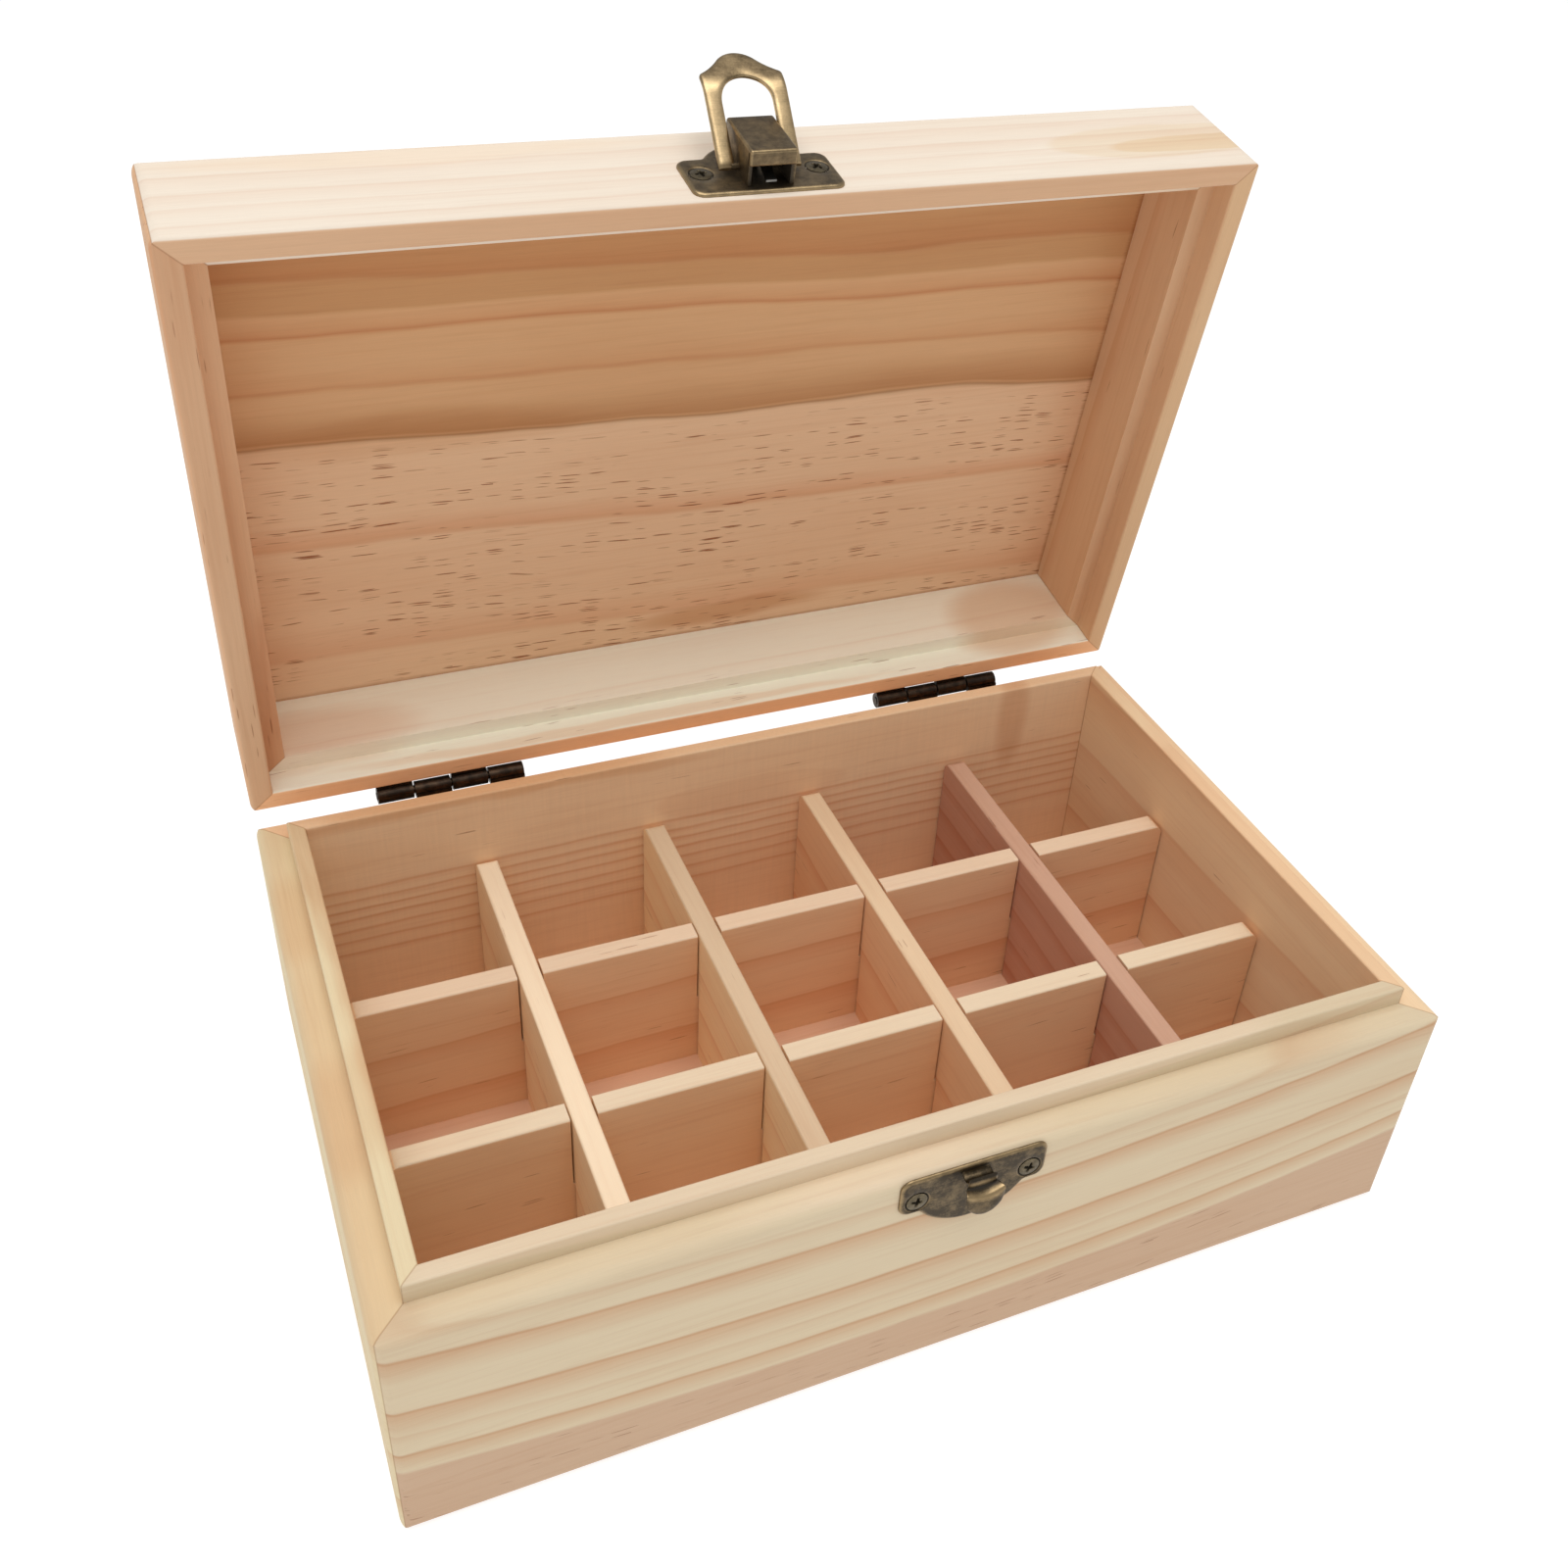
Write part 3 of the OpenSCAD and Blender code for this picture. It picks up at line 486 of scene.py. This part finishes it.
# ---- Latch plate ----
# Stamped sheet with rolled edges and an antique bronze plating, screwed to the lid's front. Its
# lobe stands up behind the bail, and the sheet is dimpled round each screw.
RIM_Z = 54.7
PLATE_W, PLATE_T = 29.2, 0.7
PLATE_HOLLOW, PLATE_CORNER = 0.042 * PLATE_W, 0.075 * PLATE_W
LATCH_H, LATCH_CROWN, LATCH_LOBE = 12.9, 17.9, 0.37 * PLATE_W
LATCH_UP = 1.0
SCREW_OUT = 0.385 * PLATE_W
HEAD_R = 2.1
PLATE_ROLL, PLATE_DIP = 0.75, 0.25
EDGE_POINTS, RING_POINTS, FIELD_PITCH = 220, 48, 0.9


def plating(name, dark, worn, wear, rough, seed, mottle=0.45):
    """Plating of a dark tone that wear turns towards the bare, brighter metal.

    A slow cloud and fine brush marks wear it everywhere, and an attribute of the points says where
    an edge or a bend stands proud and is rubbed most, or where a painted highlight lies. Below
    nought it is a hollow, darkened by painted shade and dulled by oxide.
    """
    finish = Finish(name)
    at = finish.place()
    x, y, z = finish.split(at)
    cloud = finish.noise(finish.scale(at, mottle), 3.0, 0.6)
    brush = finish.noise(finish.join(x / 3, y / 0.2 + seed, z / 0.2), 2.0, 0.6)
    speck = finish.noise(finish.scale(at, 3.2), 2.0, 0.7)
    rub = finish.node("Attribute", {"attribute_name": "rub"}, output=2)
    wear_and_highlight = ((cloud - 0.5) * 1.1 + (brush - 0.5) * 0.35 + (speck - 0.5) * 0.4 + rub * 0.75
              + wear).math("MAXIMUM", 0.0, clamp=True)
    # Painted shade: below nought the colour is darkened, and the metal is made duller.
    painted_shade_and_dull = (rub * -1).math("MAXIMUM", 0.0, clamp=True)
    bare = finish.mix(wear_and_highlight, (*dark, 1), (*worn, 1))
    finish.set(Base_Color=finish.scale(bare, painted_shade_and_dull * -0.6 + 1), Metallic=painted_shade_and_dull * -0.7 + 1,
               Roughness=rough + brush * 0.1 - wear_and_highlight * 0.1 + painted_shade_and_dull * 0.15,
               Normal=finish.bump(brush * 0.3 + speck * 0.7, 0.01))
    return finish.material


def opened(points):
    """Turns points of the closed lid to where the open lid holds them."""
    c, s = math.cos(-LID_OPEN), math.sin(-LID_OPEN)
    y, z = points[..., 1] - HINGE_AXIS.y, points[..., 2] - HINGE_AXIS.z
    return np.stack([points[..., 0], HINGE_AXIS.y + y * c - z * s,
                     HINGE_AXIS.z + y * s + z * c], -1)


def on_lid_front(points):
    """From (across, up from the rim, out from the board) to the open lid."""
    return opened(np.stack([points[..., 0], -BOX_HALF[1] - points[..., 2],
                            RIM_Z + points[..., 1]], -1))


def arc(centre, radius, first, last, count=12):
    """Points on a circle from the first to the last angle, in degrees."""
    turn = np.radians(np.linspace(first, last, count))
    return np.stack([centre[0] + radius * np.cos(turn), centre[1] + radius * np.sin(turn)], -1)


def circle(count):
    """Points on a circle of radius 1, the first on its right."""
    return arc((0, 0), 1, 0, 360, count + 1)[:-1]


def spread_out(outline, count, closed=True):
    """The outline again, with count points at equal distances along it."""
    ends = np.vstack([outline, outline[:1]]) if closed else outline
    gaps = np.linalg.norm(np.diff(ends, axis=0), axis=1)
    along = np.concatenate([[0], np.cumsum(gaps)])
    at = np.linspace(0, along[-1], count, endpoint=not closed)
    return np.stack([np.interp(at, along, ends[:, k]) for k in range(outline.shape[1])], -1)


def inset(outline, depth):
    """A counterclockwise outline moved inwards by depth along its normals."""
    run = np.roll(outline, -1, 0) - np.roll(outline, 1, 0)
    run /= np.linalg.norm(run, axis=1)[:, None]
    return outline + depth * np.stack([-run[:, 1], run[:, 0]], -1)


def inside(points, outline):
    """Which points a line upwards leaves through an odd number of the outline's edges."""
    (x, y), a, b = points.T[:, :, None], outline.T[:, None], np.roll(outline, -1, 0).T[:, None]
    spans = (a[0] > x) != (b[0] > x)
    height = a[1] + (x - a[0]) * (b[1] - a[1]) / np.where(spans, b[0] - a[0], 1)
    return (spans & (height > y)).sum(1) % 2 == 1


def lobed_outline(wide, high, crown, lobe, hollow, corner, sloped=False):
    """Counterclockwise outline of a bar with rounded corners and a round lobe on its upper edge.

    A hollow arc joins the lobe to the upper edge, or, where it is sloped, straight to the corner's
    arc: its centre then stands hollow and a radius away from both arcs' centres.
    """
    peak, shoulder = np.array((0, crown - lobe)), np.array((wide / 2 - corner, high - corner))
    if sloped:
        gap = np.linalg.norm(shoulder - peak)
        way = (shoulder - peak) / gap
        run = ((lobe + hollow) ** 2 - (corner + hollow) ** 2 + gap ** 2) / (2 * gap)
        rise = math.sqrt((lobe + hollow) ** 2 - run ** 2)
        centre = peak + way * run + rise * np.array((-way[1], way[0]))
        leave = math.degrees(math.atan2(*(centre - shoulder)[::-1]))
    else:
        rise = high + hollow - peak[1]
        centre = np.array((math.sqrt((lobe + hollow) ** 2 - rise ** 2), high + hollow))
        leave = 90
    meet = math.degrees(math.atan2(*(centre - peak)[::-1]))
    one = np.vstack([arc((shoulder[0], corner), corner, -90, 0), arc(shoulder, corner, 0, leave),
                     arc(centre, hollow, 180 + leave, 180 + meet, 20),
                     arc(peak, lobe, meet, 90, 24)])
    return np.vstack([one, one[::-1] * (-1, 1)])


def quads(rows, columns):
    """Faces of a skin over loops: rows loops of columns points, each loop closed."""
    row = np.arange(rows - 1)[:, None] * columns
    here = np.arange(columns)[None, :]
    after = (here + 1) % columns
    return np.stack([row + here, row + after, row + columns + after, row + columns + here],
                    -1).reshape(-1, 4)


def tube(loops, rub, cap=True):
    """Skin over loops, an array of rows, points and coordinates, with a flat face at each end."""
    rows, columns = loops.shape[:2]
    faces = quads(rows, columns).tolist()
    if cap:
        faces += [list(range(columns)), list(range((rows - 1) * columns, rows * columns))]
    return loops.reshape(-1, 3), faces, np.broadcast_to(rub, (rows, columns)).reshape(-1)


def rings_at(middle, profile):
    """Circles round a middle, one for each (radius, height) of a profile."""
    return np.stack([np.column_stack([middle + circle(RING_POINTS) * r, np.full(RING_POINTS, z)])
                     for r, z in profile])


def rolled_plate(outline, holes):
    """Stamped plate: its edge is rolled round from the back to a flat face, dimpled at its holes.

    Round the outline the height goes up a quarter ellipse as the outline moves inwards. The
    flat field inside is triangulated over a grid between that edge and the rings of the dimples.
    Its parts have points (across, up, out).
    """
    def clear(points, gap):
        """Which points lie further than gap outside the head of every screw."""
        return np.linalg.norm(points[:, None] - np.array(holes), axis=2).min(1) > HEAD_R + gap

    count = EDGE_POINTS
    outline = spread_out(outline, count)
    edge = [(0.0, 0.0), *((PLATE_ROLL * (1 - math.cos(a)), PLATE_T * (0.3 + 0.7 * math.sin(a)))
                          for a in np.linspace(0, math.pi / 2, 8))]
    loops = np.stack([np.column_stack([inset(outline, d), np.full(count, z)]) for d, z in edge])
    rub = np.array([0.5, 0.6, 0.9, 1, 0.9, 0.7, 0.45, 0.2, 0])[:, None]
    parts = [(loops.reshape(-1, 3), quads(len(edge), count).tolist() + [list(range(count))],
              np.broadcast_to(rub, (len(edge), count)).reshape(-1))]

    dimple = [(HEAD_R + 0.55, PLATE_T), (HEAD_R + 0.38, PLATE_T - 0.06),
              (HEAD_R + 0.2, PLATE_T - PLATE_DIP * 0.5), (HEAD_R + 0.06, PLATE_T - PLATE_DIP),
              (HEAD_R + 0.02, PLATE_T - PLATE_DIP - 0.15)]
    around = [hole + circle(RING_POINTS) * dimple[0][0] for hole in holes]
    grid = np.stack(np.meshgrid(*(np.arange(a, b, FIELD_PITCH) for a, b in
                                  zip(outline.min(0), outline.max(0)))), -1).reshape(-1, 2)
    grid = grid[inside(grid, inset(loops[-1][:, :2], FIELD_PITCH / 2))]
    flat = np.vstack([loops[-1][:, :2], *around, grid[clear(grid, 1)]])
    bounds, first = [], 0
    for size in (count, *[RING_POINTS] * len(holes)):
        bounds += [(first + k, first + (k + 1) % size) for k in range(size)]
        first += size
    field, _, faces, *_ = delaunay_2d_cdt([Vector(p) for p in flat], bounds, [], 1, 1e-5)
    field, faces = np.array([tuple(p) for p in field]), np.array(faces)
    faces = faces[clear(field[faces].mean(1), 0.5)].tolist()
    parts.append((np.column_stack([field, np.full(len(field), PLATE_T)]), faces, 0.0))
    # The rim of each dimple is rubbed, and painted shade darkens the dimple inside it.
    rub = np.array([0, 0.35, -0.2, -0.9, -1.2])[:, None]
    return parts + [tube(rings_at(hole, dimple), rub, cap=False) for hole in holes]


def laid(parts, place):
    """The parts with place() applied to their points."""
    return [(place(points), faces, rub) for points, faces, rub in parts]


def build(name, parts, material, body, node, sharp=35):
    """Makes the piece that stands for a node out of parts.

    Each part has points in millimetres, faces, and how rubbed each point is, painted highlights
    included; below nought it is painted shade."""
    points, faces, wear_and_light_values, start = [], [], [], 0
    for some, made, rub in parts:
        points.append(some)
        faces += [[start + k for k in face] for face in made]
        wear_and_light_values.append(np.broadcast_to(rub, len(some)))
        start += len(some)
    mesh = bpy.data.meshes.new(name)
    mesh.from_pydata((np.vstack(points) / 1000).tolist(), [], faces)
    mesh.attributes.new("rub", "FLOAT", "POINT").data.foreach_set(
        "value", np.concatenate(wear_and_light_values).astype(np.float32))
    work = bmesh.new()
    work.from_mesh(mesh)
    bmesh.ops.remove_doubles(work, verts=work.verts, dist=1e-6)
    bmesh.ops.recalc_face_normals(work, faces=work.faces)
    work.to_mesh(mesh)
    work.free()
    mesh.shade_smooth()
    mesh.set_sharp_from_angle(angle=math.radians(sharp))
    mesh.materials.append(material)
    shown = bpy.data.objects.new(name, mesh)
    scene.collection.objects.link(shown)
    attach(shown, body)
    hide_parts(node)


latch_bronze = plating("latch_bronze", (0.105, 0.078, 0.048), (0.42, 0.305, 0.165),
                       wear=0.17, rough=0.38, seed=2.0)
LATCH_SCREWS = [np.array((s * SCREW_OUT, LATCH_UP + 0.57 * LATCH_H)) for s in (-1, 1)]
latch_outline = lobed_outline(PLATE_W, LATCH_H, LATCH_CROWN, LATCH_LOBE, PLATE_HOLLOW,
                              PLATE_CORNER) + (0, LATCH_UP)
build("stamped_latch_plate", laid(rolled_plate(latch_outline, LATCH_SCREWS), on_lid_front),
      latch_bronze, "lid", "latch_plate")

# ---- Bracket of the latch ----
# A channel folded from thinner sheet, riveted to the plate over the bail's feet. Its front end
# is turned down into a lip.
BRACKET_W, BRACKET_OUT, BRACKET_T = 9.1, 7.5, 0.8
BRACKET_LOW, BRACKET_HIGH = 2.111, 15.311
BRACKET_BEND = 0.5


def channel(reach, taper):
    """Section of the bent sheet across the bracket, as (across, out below its top face).

    Its two sides are reach long, and taper thins the sheet."""
    hollow, half = 0.12, BRACKET_W / 2

    def skin(side, corner, centre, radius):
        """Up one side, round its corner, over the top and down the other side."""
        rise = np.linspace((-side, -reach), (-side, -corner), 9)[:-1]
        top = np.linspace((-centre, -corner + radius), (0, -corner + radius), 7)[1:]
        one = np.vstack([rise, arc((-centre, -corner), radius, 180, 90, 9), top])
        return np.vstack([one, one[-2::-1] * (-1, 1)])

    outer = skin(half - taper, BRACKET_BEND, half - BRACKET_BEND, BRACKET_BEND - taper)
    inner = skin(half - BRACKET_T + taper, BRACKET_T + hollow, half - BRACKET_T - hollow,
                 hollow + taper)
    return np.vstack([outer, inner[::-1]])


# Stations along the sheet, from its upper end to the edge of its lip: up from the rim, down from
# the top face, tilt of the section in degrees, reach of its sides and taper of the sheet.
full, short = BRACKET_OUT - PLATE_T, BRACKET_T + 0.15
turn_z = BRACKET_LOW + BRACKET_BEND
stations = [
    *((BRACKET_HIGH - down, 0, 0, full, taper) for down, taper in
      ((0, 0.16), (0.12, 0.03), (0.3, 0))),
    *((up, 0, 0, full, 0) for up in np.linspace(BRACKET_HIGH - 1.5, turn_z + 0.5, 8)),
    (turn_z + 0.14, 0, 0, full, 0), (turn_z + 0.02, 0, 0, full, 0.05), (turn_z, 0, 0, short, 0),
    *((turn_z - BRACKET_BEND * math.sin(a), BRACKET_BEND * (1 - math.cos(a)), math.degrees(a),
       short, 0) for a in np.linspace(0.15, math.pi / 2, 8)),
    *((BRACKET_LOW, down, 90, short, taper) for down, taper in
      ((1.1, 0), (1.7, 0), (2.3, 0), (2.65, 0), (2.77, 0.04), (2.85, 0.16)))]
loops = []
for up, down, tilt, reach, taper in stations:
    section = channel(reach, taper)
    c, s = math.cos(math.radians(tilt)), math.sin(math.radians(tilt))
    loop = np.column_stack([section[:, 0], up - section[:, 1] * s,
                            BRACKET_OUT - down + section[:, 1] * c])
    within = slice(len(loop) // 2, None)
    loop[within, 1] = np.maximum(loop[within, 1], BRACKET_LOW + BRACKET_T)
    loop[within, 2] = np.minimum(loop[within, 2], BRACKET_OUT - BRACKET_T)
    loops.append(loop)
loops = np.array(loops)
# Its two long bends, the bend of the lip and the lip's edge are rubbed, and painted shade darkens
# its inside.
rub = np.zeros(loops.shape[:2])
rub[:, 9:16] = rub[:, 29:36] = 0.45
rub[14:21] += 0.55
rub[-3:] += 0.3
rub[:, rub.shape[1] // 2:] = -0.8
build("folded_bracket", laid([tube(loops, rub)], on_lid_front),
      latch_bronze, "lid", "latch_bracket", sharp=50)

# ---- Spring of the latch ----
# A leaf of bright steel under the bracket, bent over the bail's feet, which holds the bail where
# it is turned to.
paint(plating("spring_steel", (0.13, 0.125, 0.115), (0.45, 0.43, 0.39),
              wear=0.25, rough=0.3, seed=15.0), "latch_spring")

# ---- Bail of the latch ----
# A swinging loop stamped from thicker sheet and worn to bare brass. Its crown is bent back for
# a fingertip, and its two feet turn in the bracket's sides.
BAIL_W, WINDOW_W, BAIL_T = 15.9, 9.8, 1.3
BAIL_SHOULDER, BAIL_REACH, BAIL_BEND = 17.3, 22.2, math.radians(24)
BAIL_OPEN = math.radians(138)
PIVOT_OUT, PIVOT_UP, BAIL_SLACK = 2.0, 7.8, 0.3
ARCH = BAIL_SHOULDER - WINDOW_W / 2 - 0.22 * (BAIL_REACH - BAIL_SHOULDER)
BEND_AT, BEND_HALF = 0.84 * BAIL_SHOULDER, 1.6
FOOT_IN, FOOT_OUT = 1.55, 5.6


def on_bail(points):
    """From (across, up the bail from its pivot, out of its face) to the open bail on the open lid.

    Round its bend the sheet's direction turns evenly by the bend's angle. Its course is the sum
    of short steps in that direction, and a point stands off it at a right angle.
    """
    run = np.linspace(-2, 26, 1401)
    lean = BAIL_BEND * np.clip((run - BEND_AT + BEND_HALF) / (2 * BEND_HALF), 0, 1)
    straight = np.cumsum(np.cos(lean)) * (run[1] - run[0])
    aside = np.cumsum(np.sin(lean)) * (run[1] - run[0])
    sheet, off = points[..., 1], points[..., 2]
    angle = np.interp(sheet, run, lean)
    along = np.interp(sheet, run, straight) - np.interp(0, run, straight) - off * np.sin(angle)
    away = np.interp(sheet, run, aside) + off * np.cos(angle)
    c, s = math.cos(BAIL_OPEN), math.sin(BAIL_OPEN)
    return on_lid_front(np.stack([points[..., 0] - BAIL_SLACK, PIVOT_UP - along * c + away * s,
                                  PIVOT_OUT + along * s + away * c], -1))


# The crown's outline is measured from the middle of the arch, as a distance at each bearing.
half = BAIL_W / 2
crown_top = BEND_AT + (BAIL_REACH - BEND_AT) * math.cos(BAIL_BEND)
crown = spread_out(lobed_outline(BAIL_W, BAIL_SHOULDER, crown_top, 0.32 * BAIL_W, 0.8 * BAIL_W,
                                 0.055 * BAIL_W, sloped=True), 1600)
crown = crown[crown[:, 1] > ARCH]
bearing = np.arctan2(crown[:, 1] - ARCH, crown[:, 0])
order = np.argsort(bearing)
turn = np.linspace(math.pi, 0, 121)
wide = np.interp(turn, bearing[order], np.hypot(crown[:, 0], crown[:, 1] - ARCH)[order])
arch_out = np.stack([wide * np.cos(turn), ARCH + wide * np.sin(turn)], -1)
arch_in = arc((0, ARCH), WINDOW_W / 2, 180, 0, len(turn))
leg = np.linspace(-BAIL_T / 2, ARCH, 30)[:-1]


def legs_and(arch, half):
    """Up the left leg at half from the middle, over an arch and down the right leg."""
    return np.vstack([np.column_stack([np.full(len(leg), -half), leg]), arch,
                      np.column_stack([np.full(len(leg), half), leg[::-1]])])


# The loop's section, a rounded square, is carried along between its two outlines, and thins
# to a round end at each foot.
outer, inner = legs_and(arch_out, half), legs_and(arch_in, WINDOW_W / 2)
foot = np.clip((np.minimum(outer[:, 1], 0.6) + BAIL_T / 2) / 1.25, 0, 1)
swell = np.maximum(np.sqrt(1 - (1 - foot) ** 2) * (BAIL_T / 2), 0.02)
around = np.linspace(0, 2 * math.pi, 32, endpoint=False)
side = np.sign(np.cos(around)) * np.abs(np.cos(around)) ** 0.55
face = np.sign(np.sin(around)) * np.abs(np.sin(around)) ** 0.7
middle, reach = (outer + inner)[:, None] / 2, (outer - inner)[:, None] / 2
loops = np.stack([middle[..., 0] + reach[..., 0] * side, middle[..., 1] + reach[..., 1] * side,
                  swell[:, None] * face], -1)
# The outline is measured in the legs' plane, so past the bend it is longer along the sheet.
height = loops[..., 1]
past_bend = BEND_AT + (height - BEND_AT) / math.cos(BAIL_BEND)
loops[..., 1] = np.where(height > BEND_AT, past_bend, height)
# The legs are made lighter than the crown, a painted highlight runs across the bend, and the edges
# of the section are rubbed.
legs_lighter = np.clip((BEND_AT + 1.5 - height) / 3, 0, 1) * np.clip(height / 2 + 0.6, 0.25, 1)
bend_highlight = np.exp(-((height - BEND_AT) / 0.9) ** 2)
rub = 0.05 + 0.5 * legs_lighter + 0.35 * bend_highlight + 0.12 * np.abs(side) ** 4
# Painted shade darkens the feet, which turn inside the bracket.
feet = []
for s in (-1, 1):
    stub = circle(24) * (BAIL_T / 2 - 0.02)
    feet.append(tube(np.stack([np.column_stack([np.full(len(stub), s * x), stub])
                               for x in (FOOT_IN, FOOT_OUT)]), -0.3))
bail_bronze = plating("bail_bronze", (0.14, 0.10, 0.055), (0.74, 0.545, 0.30),
                      wear=0.17, rough=0.33, seed=6.0, mottle=0.3)
build("bent_bail", laid([tube(loops, rub), *feet], on_bail),
      bail_bronze, "bail", "latch_bail", sharp=60)

# ---- Keeper ----
# The same stamping turned upside down on the base's front. A tongue folds over its upper edge,
# comes down and flares into a round nose, which the bail's window drops over.
KEEPER_TOP = 54.9
KEEPER_H, KEEPER_CROWN, KEEPER_LOBE = 8.8, 14.4, 0.428 * PLATE_W


def on_base_front(points):
    """From (across, down from the keeper's upper edge, out from the board) to the base."""
    return np.stack([points[..., 0], -BOX_HALF[1] - points[..., 2],
                     KEEPER_TOP - points[..., 1]], -1)


KEEPER_SCREWS = [np.array((s * SCREW_OUT, 0.65 * KEEPER_H)) for s in (-1, 1)]
keeper_outline = lobed_outline(PLATE_W, KEEPER_H, KEEPER_CROWN, KEEPER_LOBE, PLATE_HOLLOW,
                               PLATE_CORNER)
# Middle of the tongue's sheet, as (down, out), and half its width there: over the plate's upper
# edge in a half circle, straight down, out along the shoulder, and down the round nose.
fold = arc((0.75, 1.81), 1.4, 270, 90, 13)
fold[:, 0] = 1.5 - fold[:, 0]
TONGUE = np.vstack([
    [(1.5, 0.41, 2.8)], np.column_stack([fold, np.full(len(fold), 2.85)]),
    [(1.6, 3.21, 2.85), (2.5, 3.21, 2.9), (3.0, 3.25, 3.05), (3.35, 3.5, 3.25),
     (3.75, 4.15, 3.5), (4.1, 4.7, 3.7), (4.6, 5.0, 3.85), (5.4, 5.1, 3.75), (6.2, 5.2, 3.4),
     (7.0, 5.25, 2.8), (7.6, 5.25, 2.1), (8.0, 5.2, 1.35), (8.2, 5.15, 0.7),
     (8.27, 5.12, 0.15)]])
spine = spread_out(TONGUE, 120, False)
kernel = np.array([1, 2, 1]) / 4
place, away, wide = (np.convolve(np.pad(spine[:, k], 1, "edge"), kernel, "valid")[:, None]
                     for k in range(3))
# The shoulder is dished into a V by a lift of its sides, and the nose is crowned.
across = np.sin(np.linspace(-math.pi / 2, math.pi / 2, 41))[None, :]
lift = np.exp(-((place - 4.5) / 1.2) ** 2) * across ** 2 * 1.5 * (away > 3.1)
down = place - lift
out = away - 0.25 * across ** 2 * np.clip((place - 4) / 3, 0, 1)
run = np.stack([np.gradient(down, axis=0), np.gradient(out, axis=0)], -1)
run /= np.linalg.norm(run, axis=-1)[..., None]
thin = PLATE_T / 2 * np.sqrt(np.clip(1 - np.abs(across) ** 6, 0.02, 1)) * \
    np.sqrt(np.clip(1 - np.clip((place - 7.3) / 1.0, 0, 1) ** 2, 0.02, 1))
front, rear = (np.stack([wide * across, down - s * run[..., 1] * thin,
                         out + s * run[..., 0] * thin], -1) for s in (1, -1))
loops = np.concatenate([front, rear[:, ::-1]], 1)
# Its lip is rubbed and a painted highlight lies on the top of its fold. Painted shade darkens the
# hollow between them and the tongue's highest part.
rub = (away > 2.6) * (1.5 * np.exp(-((place - 4.2) / 0.45) ** 2)
                      + 0.7 * np.exp(-((place - 1.7) / 0.4) ** 2)
                      - 0.8 * np.exp(-((place - 3.0) / 0.5) ** 2)
                      + 0.1 * np.clip((place - 5) / 2, 0, 1)) \
    - 0.9 * np.clip((1.2 - place) / 0.8, 0, 1)
keeper_bronze = plating("keeper_bronze", (0.058, 0.044, 0.028), (0.42, 0.30, 0.16),
                        wear=0.1, rough=0.4, seed=9.0)
build("hooked_keeper",
      laid([*rolled_plate(keeper_outline, KEEPER_SCREWS), tube(loops, rub)], on_base_front),
      keeper_bronze, "base", "keeper")

# ---- Screws of the latch and keeper ----
# Countersunk wood screws with a cross recess, their low domes just under the sheet's face. Each
# is turned as the screwdriver left it.
HEAD_OUT = 0.6
LATCH_SCREW_L, KEEPER_SCREW_L = 5.0, 8.0
LATCH_TURNS, KEEPER_TURNS = (12, 35), (10, 20)
SHANK_R = 0.9


def screw(turned, length, at):
    """Head on a polar grid: a low dome less a cross whose four slots are deepest in the middle.

    Below its edge the head tapers to a plain shank. Points are (across, up, out), from at."""
    radius = np.linspace(0.001, 1, 30) ** 0.9 * HEAD_R * 0.97
    turn = np.radians(turned) + np.linspace(0, 2 * math.pi, 96, endpoint=False)
    r, a = np.meshgrid(radius, turn, indexing="ij")
    x, y = (np.abs(r * part(a - np.radians(turned))) for part in (np.cos, np.sin))
    slots = [np.clip(1.15 - far / 1.05, 0, 1) * np.clip((0.34 - near) / 0.16, 0, 1)
             for far, near in ((x, y), (y, x))]
    dome = 0.22 * (1 - (r / HEAD_R) ** 2) - 0.7 * np.clip(np.maximum(*slots) * 1.6, 0, 1)
    top = np.stack([r * np.cos(a), r * np.sin(a), dome], -1)
    below = [(HEAD_R * 0.985, -0.06), (HEAD_R * 0.95, -0.14), (SHANK_R, -1.25),
             (SHANK_R, -length + 1), (0.1, -length)]
    skirt = np.stack([np.stack([r * np.cos(turn), r * np.sin(turn), np.full(len(turn), z)], -1)
                      for r, z in below])
    # Painted shade darkens the cross recess, and the dome is a little rubbed.
    rub = np.concatenate([np.where(dome > 0, 0.15, -0.6), np.zeros((len(below), len(turn)))])
    return tube(np.concatenate([top, skirt]) + (*at, HEAD_OUT), rub)


screw_bronze = plating("screw_bronze", (0.075, 0.06, 0.038), (0.27, 0.215, 0.13),
                       wear=0.15, rough=0.35, seed=12.0, mottle=0.8)
build("latch_cross_screws", laid([screw(turned, LATCH_SCREW_L, at) for turned, at in
                                  zip(LATCH_TURNS, LATCH_SCREWS)], on_lid_front),
      screw_bronze, "lid", "latch_screws")
build("keeper_cross_screws", laid([screw(turned, KEEPER_SCREW_L, at) for turned, at in
                                   zip(KEEPER_TURNS, KEEPER_SCREWS)], on_base_front),
      screw_bronze, "base", "keeper_screws")

# ---- Hinges ----
# Small butt hinges of folded sheet with a dark, satin plating, screwed on behind the boards.
# Their knuckles show in the gap under the open lid.
hinge_bronze = plating("hinge_bronze", (0.03, 0.022, 0.017), (0.16, 0.10, 0.06),
                       wear=0.12, rough=0.38, seed=9.0)
paint(screw_bronze, "hinge_base_screws", "hinge_lid_screws")
paint(hinge_bronze, "left_hinge_base_leaf", "right_hinge_base_leaf", "left_hinge_pin",
      "right_hinge_pin", "left_hinge_lid_leaf", "right_hinge_lid_leaf")
